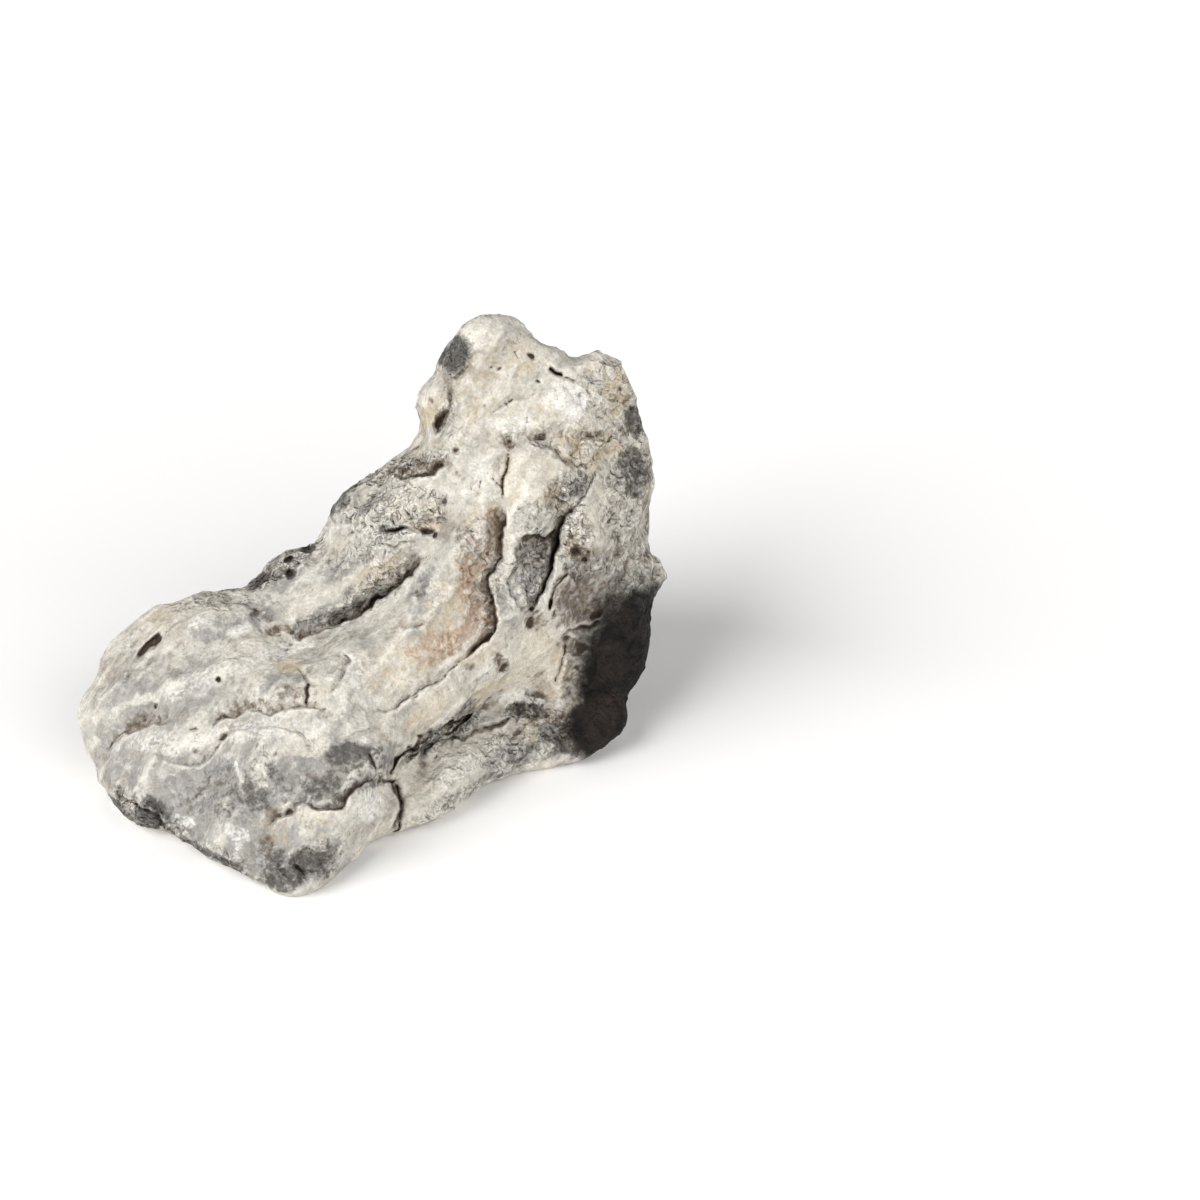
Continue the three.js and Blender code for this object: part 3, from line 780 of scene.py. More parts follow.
def fineTraits(points, normals):
    # sheets, creases, humps, facets, clusters of pits, grain, and everything placed. Edges are short
    # by the placed lines and on broken ground, and long behind
    beds = bedPlaces(points)
    rough = roughShare(points, normals)
    natural = lappedSheets(points, *relief["thickSheets"], 23) * (1 - 0.75 * facingEye(normals))
    natural += lappedSheets(points, *relief["thinSheets"], 35) * (0.2 + 0.5 * rough)
    natural += lappedSheets(points, *relief["sheetsBehind"], 27) * (1 - facingEye(normals, 0.4))
    creaseSize, creaseHeight = relief["creases"]
    humpSize, humpHeight = relief["humps"]
    ridges = creaseHeight * (0.5 - 2 * np.abs(layeredNoise(beds, creaseSize, 25, 3)))
    ridges += humpHeight * noise(beds, humpSize, 26)
    natural += ridges * (0.4 + 0.6 * rough)
    for (size, high), seed in zip(relief["grain"], (30, 34)):
        natural += high * noise(points, size, seed) * 0.6 * rough
    for (size, high), places, seed in zip(relief["brokenFaces"], (beds, points), (41, 42)):
        natural += high * facets(places, size, seed) * rough
    for (size, high), seed in zip(relief["wornFaces"], (43, 44)):
        natural += high * facets(beds, size, seed) * (1 - 0.7 * rough)
    natural += boredPits(points, rough)
    height, close, under, lip = placedRelief(points, normals)
    shift = normals * natural[:, None] + unit(eye - points) * height[:, None]
    shift *= smooth(points[:, 2] / 3)[:, None]
    longest = relief["wornEdge"] - relief["finerOnBroken"] * rough
    longest += relief["coarserBehind"] * (1 - facingEye(normals, 0.15))
    longest = longest * (1 - close) + relief["lineEdge"] * close
    return np.column_stack([shift, longest, under, lip, rough])


def makeStone():
    points, faces = nodeArrays(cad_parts["stone"])
    edges, _ = edgesOf(faces, len(points))
    points = relaxed(points, edges, 3)
    normals = pointNormals(points, faces)
    points, faces, _ = shiftedAndRefined(points, normals, faces, broadTraits, 4)
    edges, _ = edgesOf(faces, len(points))
    points = relaxed(points, edges, 2)
    normals = pointNormals(points, faces)
    print("stone: broad folds,", len(faces), "triangles")
    points, faces, marks = shiftedAndRefined(points, normals, faces, fineTraits, 6)
    points[:, 2] = np.maximum(points[:, 2], 0)
    print("stone: fine relief,", len(faces), "triangles")

    mesh = bpy.data.meshes.new("limestone block")
    mesh.vertices.add(len(points))
    mesh.vertices.foreach_set("co", (points / metre).astype(np.float32).ravel())
    mesh.loops.add(len(faces) * 3)
    mesh.loops.foreach_set("vertex_index", faces.astype(np.int32).ravel())
    mesh.polygons.add(len(faces))
    mesh.polygons.foreach_set("loop_start", np.arange(0, len(faces) * 3, 3, dtype=np.int32))
    mesh.polygons.foreach_set("use_smooth", np.ones(len(faces), bool))
    mesh.update(calc_edges=True)
    stone = bpy.data.objects.new("limestone_block", mesh)
    bpy.context.collection.objects.link(stone)
    return stone, points, faces, marks


stone, stonePoints, stoneFaces, stoneMarks = makeStone()


# Stains and wear, with painted shade and painted light among them. Spots: across, up, half length, half
# width, turn in degrees, amount.
stainsShadeAndLight = {
    "tan": [
        (80, 68, 8, 13, 0, 0.9), (38, 70, 20, 9, 20, 0.6), (60, 152, 14, 16, 0, 0.5),
        (62, 168, 8, 6, 0, 0.4), (40, 116, 10, 7, 10, 0.6), (62, 110, 6, 8, 0, 0.7),
        (88, 106, 5, 9, 10, 0.8), (60, 72, 6, 5, 30, 0.6), (97, 147, 9, 6, 0, 0.7),
        (50, 132, 8, 6, 20, 0.4), (66, 60, 10, 4, 30, 0.8), (93, 134, 12, 7, 0, 1),
        (50, 77, 8, 8, -20, 0.8), (46, 54, 11, 4, 32, 0.7), (102, 151, 6, 9, -20, 0.9),
        (98, 157, 7, 4, -20, 0.7), (58, 98, 4, 9, 0, 0.7), (88, 104, 4, 7, 0, 0.8), (0, 20, 5, 10, 0, 0.5),
        (4.5, 68, 5, 2.5, 0, 0.8), (74, 160, 7, 6, -30, 0.7), (47, 145, 4, 8, -10, 0.8),
        (45, 110.5, 6, 2, 0, 0.9), (30, 96, 10, 4, 35, 0.7), (2, 79, 5, 2, 0, 0.7),
        (76, 124, 12, 10, 0, 0.7), (90, 109, 6, 12, 15, 1), (52, 84, 9, 12, 25, 0.7),
        (76, 142, 18, 8, 5, 0.5), (66, 100, 8, 14, 0, 0.5), (-33, 84, 10, 4, 35, 0.6),
        (12, 22, 8, 5, 10, 0.6), (76, 49, 4, 5, 20, 0.7),
    ],
    "rust": [
        (60.5, 88, 6.5, 17, 6, 1), (52, 75, 12, 6, 22, 1), (59, 98, 6, 12, 0, 0.9), (64, 107, 5, 9, 0, 1),
        (60, 80, 4, 8, 0, 1.1), (58, 92, 3, 6, 10, 1.2), (74.4, 123.6, 3.5, 3, 0, 0.6),
        (95.7, 137.2, 4, 3, 0, 0.5), (69.5, 135.1, 3.5, 2, 0, 0.6), (77.1, 81.1, 2.2, 2, 0, 0.7),
        (52, 62, 8, 3, 35, 0.4), (84, 53, 5, 3, 0, 0.6),
    ],
    "grey": [
        (-26, 27, 22, 13, -18, 1.2), (-5, 30, 10, 12, 0, 1.2), (-4, 42, 7, 7, 0, 1.1),
        (46, 89, 6, 9, 0, 1.1), (3, 15, 7, 5, 0, 0.7), (17, 35, 13, 10, 15, 1.4), (28, 41, 8, 4, 5, 1.3),
        (8, 9, 14, 10, 30, 1.6), (-8, 12, 14, 8, -30, 1.2), (-18, 80, 9, 4, 15, 0.7),
        (-5, 84, 5, 4, 0, 0.8), (14, 81, 11, 3.5, 22, 0.8), (20, 86, 12, 4, 30, 0.8),
        (24, 99, 10, 3, 30, 0.7), (34, 113, 8, 4, 10, 0.3), (70, 88, 5, 8, 0, 1), (46, 82, 7, 10, 20, 0.7),
        (2, 32, 9, 8, 0, 1.2), (-14, 22, 9, 7, 0, 1), (-13, 33, 13, 8, 0, 1.1), (-42, 50, 16, 20, 0, 0.55),
        (-12, 18, 16, 10, -25, 1.1), (58, 28.5, 22, 4, 27, 0.8), (-24, 62, 10, 10, 0, 0.4),
        (-20, 16, 14, 6, -30, 0.8), (24, 30, 6, 4, 0, 0.7), (71, 42, 10, 4.5, 20, 0.85),
        (3, 62, 8, 4, 0, 1), (94, 98, 9, 5, 20, 0.8), (50, 26, 12, 3, 27, 0.6), (21, 117, 5, 7, -20, 1),
        (29, 116, 6, 5, 40, 0.9), (43.5, 90, 4, 3, 0, 0.7), (27, 70, 5, 7, 0, 0.5),
        (54.3, 161, 4.8, 6.5, -15, 1.4), (77, 98, 6, 11, -8, 0.95), (46, 45, 8, 2, 38, 0.9),
        (57, 52, 7, 2, 35, 0.8), (90, 46, 12, 8, 15, 1.3), (3, 97, 9, 5, 35, 0.8), (92, 88, 7, 8, 0, 0.9),
        (89, 121, 5, 4, 30, 0.9),
    ],
    # dark: dark grey rock, and partly painted shade along the trough's lip, in the lower left corner, beside
    # the wall and in hollows
    "dark": [
        (54.3, 161.2, 4.6, 6, -20, 1.15), (107.6, 142, 4, 6, 0, 1), (108, 126, 5, 9, 0, 0.9),
        (22, 41, 8, 5, 5, 1), (15, 31, 8, 5, 20, 0.8), (30, 41, 5, 4, 10, 0.7),
        (71.5, 39.5, 3.5, 1.4, 20, 0.8), (76.5, 43.5, 2.6, 1.8, 0, 0.7), (80, 47.5, 3, 2, 20, 0.6),
        (83, 48, 3.5, 3.5, 0, 0.7), (10, 103.2, 2.4, 1.2, 5, 1.3), (-4.5, 93.6, 4, 1.5, 40, 1.2),
        (4.8, 95.5, 1.5, 2.4, -35, 1.2), (4.5, 100, 2.6, 1.1, 25, 0.9), (16, 82, 6, 2.6, 25, 0.45),
        (21, 35, 10, 8, 15, 0.52), (30, 38.5, 8, 2.2, 5, 0.55), (2, 31, 8, 4, 0, 0.5),
        (33, 90.5, 8, 1.2, 40, 0.7), (84, 90, 4, 5, 0, 0.3), (-3, 36, 6, 10, 10, 0.6),
        (8, 25, 6, 5, 0, 0.3), (10, 19, 5, 4, 0, 0.25), (4, 30, 5, 5, 0, 0.45), (-15, 27, 6, 5, 0, 0.6),
        (0, 9, 4, 6, 0, 0.8), (28, 37, 7, 3, 0, 0.5), (8.5, 78, 3.5, 1.8, 20, 0.6),
        (-3, 8, 2.5, 8, 15, 0.6), (19, 28.5, 5, 1.5, 35, 0.9), (20.4, 117.6, 2.5, 4, -20, 0.8),
        (28.5, 117, 4, 1.8, 40, 0.7), (75.5, 55, 6, 3.2, -5, 1.1), (-36, 24, 6, 5, -40, 1.2),
        (-7, 29, 7, 4.5, -20, 0.8), (-14, 34, 9, 6, 0, 0.5), (-20, 27, 14, 6, -15, 0.4),
        (44, 89.5, 2.5, 1.6, -10, 0.6), (36, 109.5, 5, 2, 0, 0.8), (9, 8, 9, 6, 20, 1.05),
        (15, 12, 5, 4, 40, 0.8), (2, 3, 4, 3, 0, 1), (89, 46, 8, 5.5, 25, 1), (87, 119.5, 4, 1.8, 30, 0.7),
        (81.8, 100, 2.4, 9, -8, 0.75), (43, 43, 6, 1.8, 42, 0.65), (56, 50.5, 4, 1.6, 35, 0.7),
        (58, 57, 3, 1.5, 30, 0.7), (77, 101, 5, 7, -8, 0.3), (90, 121, 3.5, 2.5, 30, 0.8),
        (-5, 83, 3, 2.5, 0, 0.5), (-6, 93, 3, 2, 30, 0.8),
    ],
    # brown: silt, and partly painted shade in hollows, round the wall's painted shadow and right of the
    # crest
    "brown": [
        (46, 127.8, 5, 2, -20, 0.9), (37, 126.5, 5, 1.5, 5, 0.8), (49.5, 141.5, 1.8, 5, -25, 0.9),
        (65.5, 108, 3, 9, 0, 0.8), (64.3, 84, 2.5, 7, 0, 0.7), (90, 89, 8, 10, -10, 0.85),
        (91, 102.5, 3.5, 4, 20, 0.9), (79.5, 115, 5, 3, 30, 0.3), (70, 135.4, 3.6, 2.4, -10, 0.55),
        (93, 97.5, 8, 4, 20, 0.6), (92, 103, 3, 4, 30, 0.9), (90, 50, 5, 9, 0, 0.7),
        (88, 75, 3.5, 3, 0, 0.8), (65.5, 110, 3, 7, 0, 0.75), (12, 60, 3, 4, 0, 0.6),
        (46, 88, 5, 8, 0, 0.3), (77, 102, 5, 7, -8, 0.6), (2, 98, 9, 4, 35, 0.4), (94, 85, 8, 5, 20, 0.8),
        (78, 83, 3, 4, 0, 0.6), (96, 90, 5, 9, 0, 0.6), (4, 60.5, 7, 3, 0, 0.7), (-39, 51, 8, 2, 15, 0.5),
        (89, 58, 4, 16, 0, 0.55), (57, 54.5, 3, 1.2, 35, 0.6), (1, 79, 5, 1.8, 10, 0.75),
        (92, 137, 6, 1.6, 0, 0.4), (79, 137, 4, 2, -10, 0.5), (88, 129, 9, 1.6, -40, 0.7),
        (104, 149, 6, 1.4, -30, 0.4), (37, 96, 6, 2.5, 38, 0.6), (58, 104, 5, 8, 0, 0.45),
        (67.5, 69, 3, 3.5, 0, 0.7), (-26, 47, 7, 1.8, 15, 0.4), (52, 74, 6, 4, 35, 0.45),
        (-10, 56.5, 12, 1.4, 5, 0.35), (92, 57, 3, 3, 0, 0.5), (97, 84, 3, 1.6, 30, 0.9),
    ],
    # wall: painted shadow on the right end, black where a neighbouring stone would shade it
    "wall": [
        (109, 62, 20, 32, 0, 1.15), (98, 50, 11, 12, 0, 1.1),
    ],
    # light: paler stone, and partly painted light where the foot band, the lower edge and the fold turn from
    # the lamps
    "light": [
        (77, 68, 7, 12, 0, 1.1), (70, 60, 11, 4, 20, 0.9), (2, 73.5, 10, 4, 20, 1.1), (75, 61, 9, 4, 15, 1),
        (64, 54.5, 5, 2, 25, 0.6), (50, 40, 9, 4, 28, 1.1), (40, 32, 3, 7, 0, 0.9), (9, 44.5, 9, 4, 5, 1.2),
        (55, 40, 14, 6, 26, 1.3), (66, 46.5, 9, 2.2, 22, 0.9), (73, 46, 4, 3, 0, 0.9),
        (76, 60.5, 7, 2.4, 5, 1.3), (30, 30, 6, 3, 0, 0.9), (62, 93, 2, 6, 0, 0.6),
        (-2, 74.5, 13, 3, 14, 1.2), (95, 148, 8, 5, -20, 0.8), (92, 139, 8, 3, 0, 0.7),
        (38, 119, 13, 6, 15, 0.9), (93, 113, 6, 10, 15, 1.1), (95, 142, 7, 9, 0, 0.9),
        (84, 128, 8, 7, 0, 0.7), (98, 118, 4, 6, 0, 0.8), (72, 135, 10, 6, 0, 0.5),
        (30, 54, 12, 5, 25, 0.6), (26, 66, 4, 8, 0, 0.7), (8, 85, 9, 3, 20, 0.8), (-20, 83, 12, 4, 10, 0.6),
        (43, 34, 6, 5, 0, 1.1), (59, 43, 15, 4, 25, 1.1), (30, 14, 11, 5, 30, 0.9),
        (50, 28, 13, 4, 27, 0.9), (88, 112, 4, 7, 0, 0.8), (66.5, 99, 1.2, 9, 8, 0.9),
        (10, 89, 8, 3, 28, 0.8), (72, 61, 10, 2.6, 14, 1.1), (45, 36, 6, 5, 20, 1), (52, 44, 8, 2, 26, 1),
        (46, 104, 8, 3, 0, 0.5), (-48, 50, 6, 5, 0, 0.5),
    ],
    # chalk: white calcite, and on the foot band partly painted light where shade falls
    "chalk": [
        (88, 147.5, 8, 5.5, -10, 1.4), (28.9, 104, 4, 2, 0, 0.6), (40.8, 102.6, 2.5, 2, 0, 0.6),
        (12, 95, 9, 3.5, 20, 0.5), (-23.1, 81, 4, 2, 20, 0.6), (-10.2, 79, 4, 2, 20, 0.6),
        (22.5, 45, 3, 1, 0, 0.9), (27.3, 45.6, 1.6, 2, 0, 0.9), (-12, 18, 6, 3, -25, 0.7),
        (-27, 21.5, 4, 2, -20, 0.7), (28, 26, 6, 6, 0, 0.8), (53, 39, 9, 3, 25, 0.6),
        (65, 45, 7, 2.5, 20, 0.6), (24, 66, 3, 7, 0, 0.5), (62, 124, 6, 9, -10, 0.6),
        (72, 149, 9, 7, 20, 0.35), (72, 60, 9, 2.2, 12, 0.9), (3, 73, 9, 3, 14, 0.9),
        (96, 147, 5, 4, -20, 0.6), (50, 46.5, 7, 1, 28, 0.7), (70, 141, 11, 3, 0, 0.7),
        (76, 57.5, 5, 1.2, 0, 1), (73.5, 55, 0.5, 2.5, 10, 1.1), (77, 54.6, 0.5, 2.4, 15, 1.1),
        (79.6, 55.5, 0.5, 2.2, -10, 1),
    ],
}

# The same along paths: half width, amount and path. The first light path, along the lower edge, is painted
# light on the shaded foot of the stone.
veins = {
    "light": [
        (2, 1, [(18, 3), (30, 13), (45, 22), (60, 30), (76, 37), (90, 41)]),
        (1.4, 1, [(68, 92), (70, 98), (71, 104), (73, 109)]),
    ],
    "chalk": [
        (1.3, 0.9, [(77.5, 84), (81.6, 89), (84.6, 97), (86.2, 104), (88.4, 111), (92, 117), (97, 125.5)]),
        (0.8, 1, [(82.6, 84.3), (84.2, 88), (86.4, 92.6), (89.3, 96.6)]),
        (0.6, 1, [(82.6, 50), (86, 46), (89.6, 42.2)]),
        (1.2, 0.8, [(65.4, 93.5), (67.4, 97), (70.6, 100), (71.2, 105), (73.6, 109)]),
        (4, 0.6, [(-46, 44), (-30, 45), (-16, 47.5), (-3, 50), (8, 49.5), (18, 50.5)]),
        (3.5, 0.55, [(-36, 58), (-20, 65.5), (-5, 71), (6, 74.5)]),
        (0.8, 1.1, [(-12, 40), (-10.8, 35.4), (-9.6, 33), (-9.8, 29.5), (-8.5, 26.7)]),
        (0.8, 0.8, [(14, 109.5), (22, 110), (32.8, 108.6)]),
        (1, 0.7, [(8, 77.5), (22, 82.5), (34, 90), (42.5, 97.5)]),
    ],
    "dark": [
        (1.8, 0.9, [(-53, 30.5), (-46, 25), (-40, 21), (-33, 17), (-25, 14)]),
        (1.4, 0.9, [(-28, 16), (-18, 11), (-8, 6)]),
        (1.6, 0.9, [(15, 112), (19, 118), (25, 124)]),
        (1.2, 0.8, [(20.5, 28.5), (24.5, 31.8), (34, 33.5)]),
    ],
}

# How much of each stands behind, in patches placed by noise.
stainsBehind = {"tan": 0.7, "rust": 0.5, "grey": 1.2, "dark": 0.6, "brown": 0.6, "light": 0.8, "chalk": 0.6}
# The wall's painted shadow runs on round the side, further past edge-on than the others, and its rim is less
# ragged.
roundTheSide = {"wall": 0.45}
rimWaver = {"wall": 0.35}


def stainShadeAndLightAmounts(points, normals, kind, seed):
    # the most of any spot's or path's amount: full to about half of its radius and gone a little past it,
    # with a ragged rim
    across, up = sheetPlaces(points)
    ragged = 0.4 * noise(points, 6, seed) + 0.2 * noise(points, 2.2, seed + 1)
    ragged *= rimWaver.get(kind, 1)
    amount = np.zeros(len(points))
    for width, most, path in veins.get(kind, []):
        near, side, share = nearPath(across, up, path, 2 * width)
        share = np.abs(side) / width + ragged[near] + 1 - pathEnds(share, 0.1)
        raiseTo(amount, near, most * fadeOut(share, 0.5))
    for *spot, most in stainsShadeAndLight[kind]:
        near, share = nearSpot(across, up, spot, 2)
        raiseTo(amount, near, most * fadeOut(share + ragged[near], 0.6))
    past = roundTheSide.get(kind, 0.05)
    facing = facingEye(normals, past, past + 0.15)
    behind = stainsBehind.get(kind, 0) * smooth((noise(points, 17, seed + 2) + ragged / 4 - 0.15) / 0.3)
    return amount * facing + behind * (1 - facing)


def paintStone():
    # stain and wear, painted shade and painted light as one number a point. The height over the smoothed
    # surface, in millimetres, is that of single grains, of ridges and of whole folds
    edges, _ = edgesOf(stoneFaces, len(stonePoints))
    normals = pointNormals(stonePoints, stoneFaces)
    values = {}
    smoothed = stonePoints
    for name, rounds in (("fineHeight", 2), ("ridgeHeight", 12), ("foldHeight", 50)):
        level = smoothed
        for _ in range(rounds):
            smoothed = neighbourMean(smoothed, edges)
        values[name] = np.sum((level - smoothed) * normals, axis=1)
    values.update(zip(("underLip", "lip", "rough"), stoneMarks.T))
    for place, kind in enumerate(stainsShadeAndLight):
        values[kind] = stainShadeAndLightAmounts(stonePoints, normals, kind, 60 + 5 * place)
    for name, amounts in values.items():
        attribute = stone.data.attributes.new(name, "FLOAT", "POINT")
        attribute.data.foreach_set("value", amounts.astype(np.float32))
    print("stone: painted with", ", ".join(values))
    return list(values)


paintedNames = paintStone()


limestone = {
    # Dense grey limestone, bored and folded by water, with calcite veins: dull, sugary where it is broken,
    # silty brown and painted darker as shade in its hollows and under its lips, and rubbed pale with painted
    # highlights along its edges.
    "colours": {
        "pale": "#bcb7ac",
        "grey": "#918f8b",
        "dark": "#514e4a",
        # crevice: dark brown, partly painted shade in cracks, concave grains and under lips
        "crevice": "#3a2f27",
        "rust": "#a4866f",
        "chalk": "#e4e2dc",
        # edge: pale of rubbed edges, partly painted highlight on ridges and lips
        "edge": "#d6d1c6",
        "silt": "#9f8f7a",
        # wall and the lighter black after it: painted shadow on the right end
        "wall": "#0f0b08",
        "wallShadowLighter": "#2f2620",
        "speck": "#75695c",
        "tan": "#c1b298",
        # light: paler stone, partly painted light on faces that turn from the lamps
        "light": "#d0cabd",
        "brown": "#6b5c4d",
    },
    "ior": 1.5,
    "shine": 0.3,
    "roughness": (0.72, 0.95),
    # Noises: size in millimetres, detail, roughness, distortion. Real grains are 0.1 to 0.3 mm, too fine to
    # show, so they are drawn coarser.
    "patterns": {
        "patch": (26.0, 4, 0.55, 0.8),
        "blotch": (9.0, 5, 0.6, 0.8),
        "mottle": (2.6, 4, 0.65, 0.4),
        "speck": (2.0, 5, 0.65, 0.3),
        "grain": (0.8, 2, 0.7, 0.0),
    },
    "streakSize": (24.0, 3.5, 3.5),
    # Bowls and chips that meet in sharp ridges: size, and how far a finer noise bends them, in bowls.
    "cells": {"bowl": 4.5, "chip": 1.9},
    "cellBend": 0.4,
    # Heights in the bump, in millimetres.
    "bumps": {"bowl": 4.2, "chip": 2.0, "mottle": 0.4, "grain": 0.45},
    # Grey shows through the pale silt: how much each pattern counts, where it starts and is full.
    "greyWeights": {"patch": 1.6, "streak": 0.8, "blotch": 0.8},
    "greyRange": (1.45, 2.3),
    # Flecks: colour, pattern, where it starts, where it is full, how much it covers on broken and on worn
    # ground.
    "flecks": [
        ("silt", "blotch", 0.50, 0.66, 0.50, 0.30),
        ("silt", "mottle", 0.55, 0.70, 0.35, 0.12),
        ("chalk", "blotch", 0.44, 0.32, 0.40, 0.35),
        ("chalk", "streak", 0.42, 0.30, 0.30, 0.22),
        ("dark", "mottle", 0.60, 0.74, 0.40, 0.03),
        ("speck", "specks", 0.85, 0.90, 0.75, 0.32),
        # brown in the middles of the bowls and chips: partly painted shade that follows the bumps
        ("brown", "bowl", 0.30, 0.08, 0.45, 0.04),
        ("brown", "chip", 0.28, 0.08, 0.45, 0.04),
        ("chalk", "specks", 0.70, 0.65, 0.50, 0.20),
        ("dark", "grain", 0.54, 0.66, 0.55, 0.02),
        ("chalk", "grain", 0.45, 0.33, 0.45, 0.04),
        # edge on the ridges of the bowls and chips: partly painted highlight that follows the bumps
        ("edge", "bowl", 0.52, 0.80, 0.55, 0.08),
        ("edge", "chip", 0.50, 0.75, 0.45, 0.06),
    ],
    # Stains and wear, with painted shade and painted light among them: colour, what drives it, its factor,
    # how much its rim is broken up, where it starts, where it is full, how much it covers.
    "stainsShadeAndLight": [
        ("tan", "tan", 1.0, 0.5, 0.25, 1.05, 0.88),
        ("rust", "rust", 1.0, 0.45, 0.20, 1.30, 0.72),
        # paler stone, partly painted light on faces turned from the lamps
        ("light", "light", 1.0, 0.6, 0.30, 1.00, 0.80),
        ("chalk", "chalk", 1.0, 0.6, 0.30, 1.00, 0.85),
        # rubbed pale edges, partly painted highlight on ridges and, below, on lips
        ("edge", "ridgeHeight", 1.4, 0.3, 0.30, 1.00, 0.45),
        ("edge", "fineHeight", 6.0, 0.3, 0.35, 1.10, 0.60),
        ("dark", "dark", 1.0, 0.45, 0.20, 1.10, 0.92),
        ("brown", "brown", 1.0, 0.45, 0.20, 1.10, 0.88),
        # painted shade, with some silt, on the ground that dips under each lip
        ("brown", "underLip", 1.6, 0.35, 0.35, 1.50, 0.85),
        ("edge", "lip", 1.0, 0.3, 0.40, 1.00, 0.60),
        ("crevice", "underLip", 1.6, 0.1, 0.95, 1.50, 0.94),
        # painted shade, with some silt, in hollow folds, creases and concave grains
        ("brown", "foldHeight", -0.30, 0.4, 0.50, 1.60, 0.40),
        ("brown", "ridgeHeight", -1.3, 0.3, 0.40, 1.30, 0.65),
        ("crevice", "fineHeight", -3.0, 0.2, 0.35, 1.20, 0.80),
    ],
    # Shade from its pattern's low to its high: multiplies the colour by the first and by the second.
    "shades": {"streak": (1.12, 0.84), "mottle": (1.14, 0.82), "grain": (0.72, 1.24)},
    # On worn ground: the share of the shade, and of the bump. On grey stains: the share of the flecks.
    "shadeWorn": 0.45,
    "bumpWorn": 0.1,
    "flecksOnGrey": 0.55,
}


def stonePatterns(tree, look):
    # the noises, streaks drawn out along the beds, cells at bent places, and specks that stand in clusters
    place = addNode(tree, "TexCoord").outputs["Object"]
    pattern = {}
    for name, (size, detail, roughness, distortion) in look["patterns"].items():
        sockets = {"Vector": place, "Scale": metre / size, "Detail": detail, "Roughness": roughness}
        pattern[name] = addNode(tree, "TexNoise", {**sockets, "Distortion": distortion}).outputs["Fac"]

    turn = mathutils.Vector(bedding).to_track_quat("X", "Z").to_euler()
    scale = [size / metre for size in look["streakSize"]]
    sockets = {"Vector": place, "Rotation": turn, "Scale": scale}
    alongBeds = addNode(tree, "Mapping", sockets, vector_type="TEXTURE").outputs[0]
    sockets = {"Vector": alongBeds, "Scale": 1.0, "Detail": 5, "Roughness": 0.6, "Distortion": 0.5}
    pattern["streak"] = addNode(tree, "TexNoise", sockets).outputs["Fac"]

    bowlSize = look["cells"]["bowl"]
    bend = look["cellBend"]
    bender = addNode(tree, "TexNoise", {"Vector": place, "Scale": metre / bowlSize, "Detail": 2})
    sockets = {"Vector": bender.outputs["Color"], "To Min": (-bend,) * 3, "To Max": (bend,) * 3}
    drift = addNode(tree, "MapRange", sockets, data_type="FLOAT_VECTOR").outputs["Vector"]
    sockets = {0: drift, 1: (bowlSize / metre,) * 3, 2: place}
    bent = addNode(tree, "VectorMath", sockets, operation="MULTIPLY_ADD").outputs[0]
    for name, size in look["cells"].items():
        cells = addNode(tree, "TexVoronoi", {"Vector": bent, "Scale": metre / size})
        pattern[name] = cells.outputs["Distance"]

    sockets = {0: pattern["blotch"], 1: 0.6, 2: pattern["speck"]}
    pattern["specks"] = addNode(tree, "Math", sockets, operation="MULTIPLY_ADD").outputs[0]
    # what breaks up the rims of stains, about -1 to 1
    sockets = {"Value": pattern["speck"], "From Min": 0.32, "From Max": 0.68, "To Min": -1.0}
    pattern["breaker"] = addNode(tree, "MapRange", sockets, clamp=False).outputs[0]
    return pattern


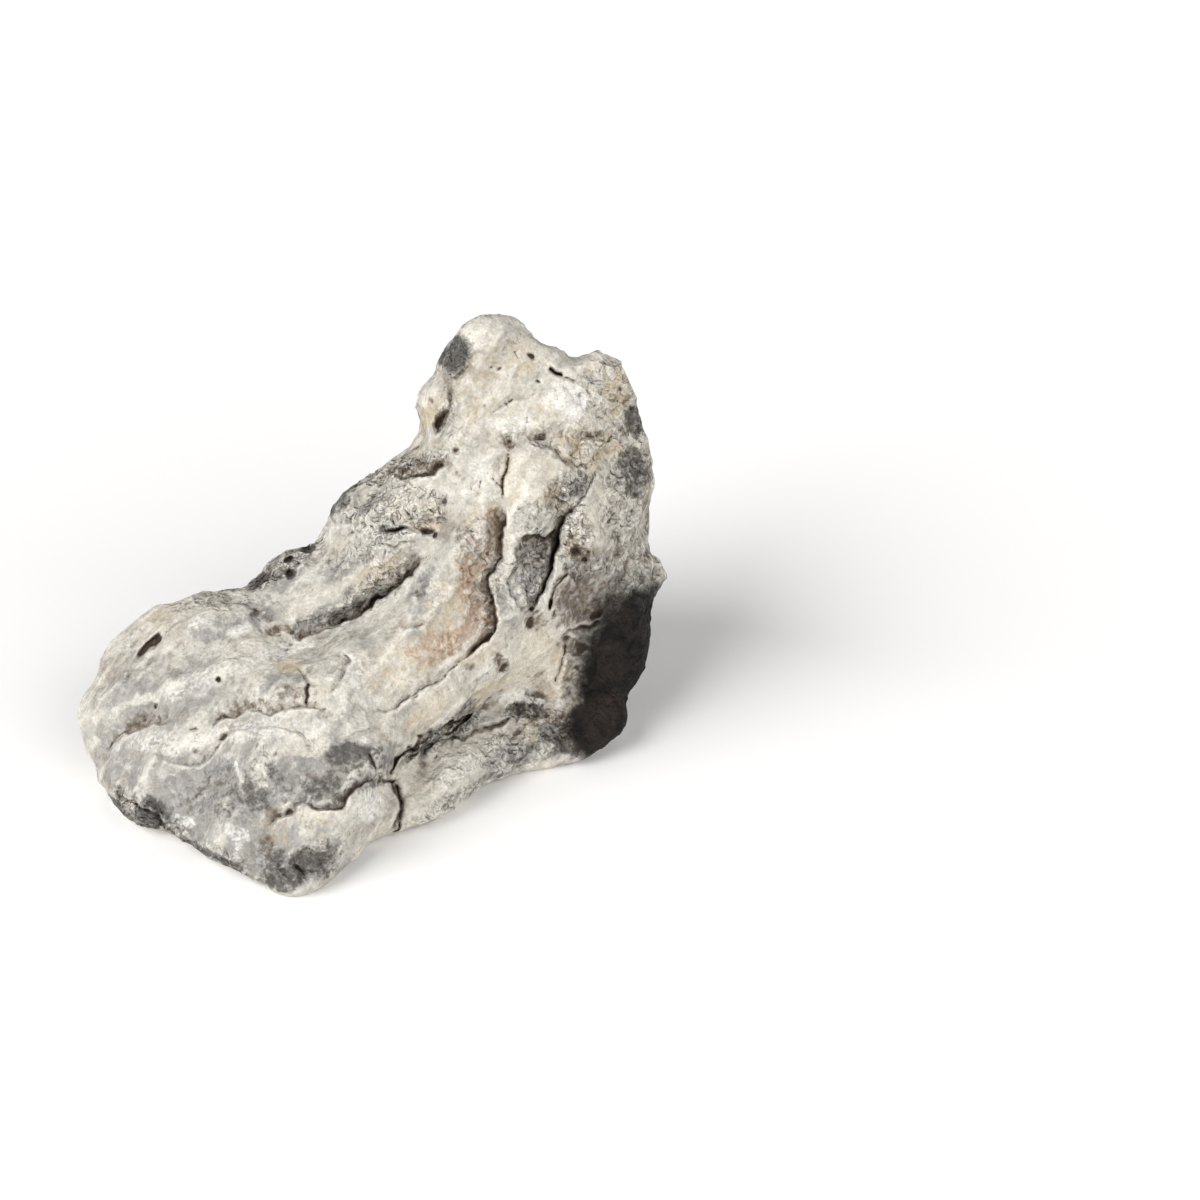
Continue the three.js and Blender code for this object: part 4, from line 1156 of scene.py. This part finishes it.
def stoneColour(tree, look, value, pattern):
    # grey stone under pale silt, then flecks, stain and wear spots with painted shade and painted light
    # among them, lighter and darker tone, and the wall's painted shadow
    tints = {name: linearColour(code) for name, code in look["colours"].items()}
    greyer = value["grey"]
    for name, weight in look["greyWeights"].items():
        sockets = {0: pattern[name], 1: weight, 2: greyer}
        greyer = addNode(tree, "Math", sockets, operation="MULTIPLY_ADD").outputs[0]
    start, full = look["greyRange"]
    layers = [("grey", greyer, start, full, 1.0)]
    # the flecks are fainter where the stone is stained grey
    bare = addNode(tree, "MapRange", {"Value": value["grey"], "To Min": 1.0, "To Max": look["flecksOnGrey"]})
    for tint, name, start, full, most, mostWorn in look["flecks"]:
        cover = addNode(tree, "MapRange", {"Value": value["rough"], "To Min": mostWorn, "To Max": most})
        cover = addNode(tree, "Math", {0: cover.outputs[0], 1: bare.outputs[0]}, operation="MULTIPLY")
        layers.append((tint, pattern[name], start, full, cover.outputs[0]))
    for tint, driver, factor, breakUp, start, full, most in look["stainsShadeAndLight"]:
        broken = addNode(tree, "Math", {0: pattern["breaker"], 1: breakUp}, operation="MULTIPLY")
        sockets = {0: value[driver], 1: factor, 2: broken.outputs[0]}
        driven = addNode(tree, "Math", sockets, operation="MULTIPLY_ADD")
        layers.append((tint, driven.outputs[0], start, full, most))
    colour = tints["pale"]
    for tint, driver, start, full, cover in layers:
        sockets = {"Value": driver, "From Min": start, "From Max": full, "To Max": cover}
        share = addNode(tree, "MapRange", sockets, interpolation_type="SMOOTHSTEP").outputs[0]
        colour = addNode(tree, "Mix", {0: share, 6: colour, 7: tints[tint]}, data_type="RGBA").outputs[2]

    shadeShare = addNode(tree, "MapRange", {"Value": value["rough"], "To Min": look["shadeWorn"]}).outputs[0]
    for name, (first, last) in look["shades"].items():
        sockets = {"From Min": 0.35, "From Max": 0.65, "To Min": first, "To Max": last}
        shade = addNode(tree, "MapRange", {"Value": pattern[name], **sockets}).outputs[0]
        sockets = {0: shadeShare, 6: colour, 7: shade}
        colour = addNode(tree, "Mix", sockets, data_type="RGBA", blend_type="MULTIPLY").outputs[2]

    # the wall's painted shadow, black where a neighbouring stone would shade it and mottled a little
    # lighter, 1 - (1 - its amount)^2.2 so that it looks even from end to end
    worn = addNode(tree, "MapRange", {"Value": pattern["blotch"], "From Min": 0.45, "From Max": 0.75})
    sockets = {0: worn.outputs[0], 6: tints["wall"], 7: tints["wallShadowLighter"]}
    wall = addNode(tree, "Mix", sockets, data_type="RGBA").outputs[2]
    sockets = {0: pattern["breaker"], 1: 0.12, 2: value["wall"]}
    wallShadow = addNode(tree, "Math", sockets, operation="MULTIPLY_ADD").outputs[0]
    left = addNode(tree, "Math", {0: 1.0, 1: wallShadow}, operation="SUBTRACT", use_clamp=True).outputs[0]
    left = addNode(tree, "Math", {0: left, 1: 2.2}, operation="POWER").outputs[0]
    return addNode(tree, "Mix", {0: left, 6: wall, 7: colour}, data_type="RGBA").outputs[2]


def stoneBumps(tree, look, value, pattern):
    # small bowls with sharp ridges between them, and grains, hardly there on worn ground
    strength = addNode(tree, "MapRange", {"Value": value["rough"], "To Min": look["bumpWorn"]}).outputs[0]
    sockets = {"Strength": strength}
    for name, height in look["bumps"].items():
        bump = addNode(tree, "Bump", {**sockets, "Height": pattern[name], "Distance": height / metre})
        sockets["Normal"] = bump.outputs["Normal"]
    return sockets["Normal"]


def makeLimestone():
    look = limestone
    material = bpy.data.materials.new("weathered grey limestone")
    material.use_nodes = True
    tree = material.node_tree
    shader = tree.nodes["Principled BSDF"]
    shader.inputs["IOR"].default_value = look["ior"]
    shader.inputs["Specular IOR Level"].default_value = look["shine"]
    value = {name: addNode(tree, "Attribute", attribute_name=name).outputs["Fac"] for name in paintedNames}
    pattern = stonePatterns(tree, look)
    tree.links.new(stoneColour(tree, look, value, pattern), shader.inputs["Base Color"])
    smoothest, dullest = look["roughness"]
    sockets = {"From Min": 0.3, "From Max": 0.7, "To Min": smoothest, "To Max": dullest}
    roughness = addNode(tree, "MapRange", {"Value": pattern["mottle"], **sockets}).outputs[0]
    tree.links.new(roughness, shader.inputs["Roughness"])
    tree.links.new(stoneBumps(tree, look, value, pattern), shader.inputs["Normal"])
    print("limestone:", len(tree.nodes), "nodes")
    return material


stone.data.materials.append(makeLimestone())
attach(stone, "root")
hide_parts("stone")
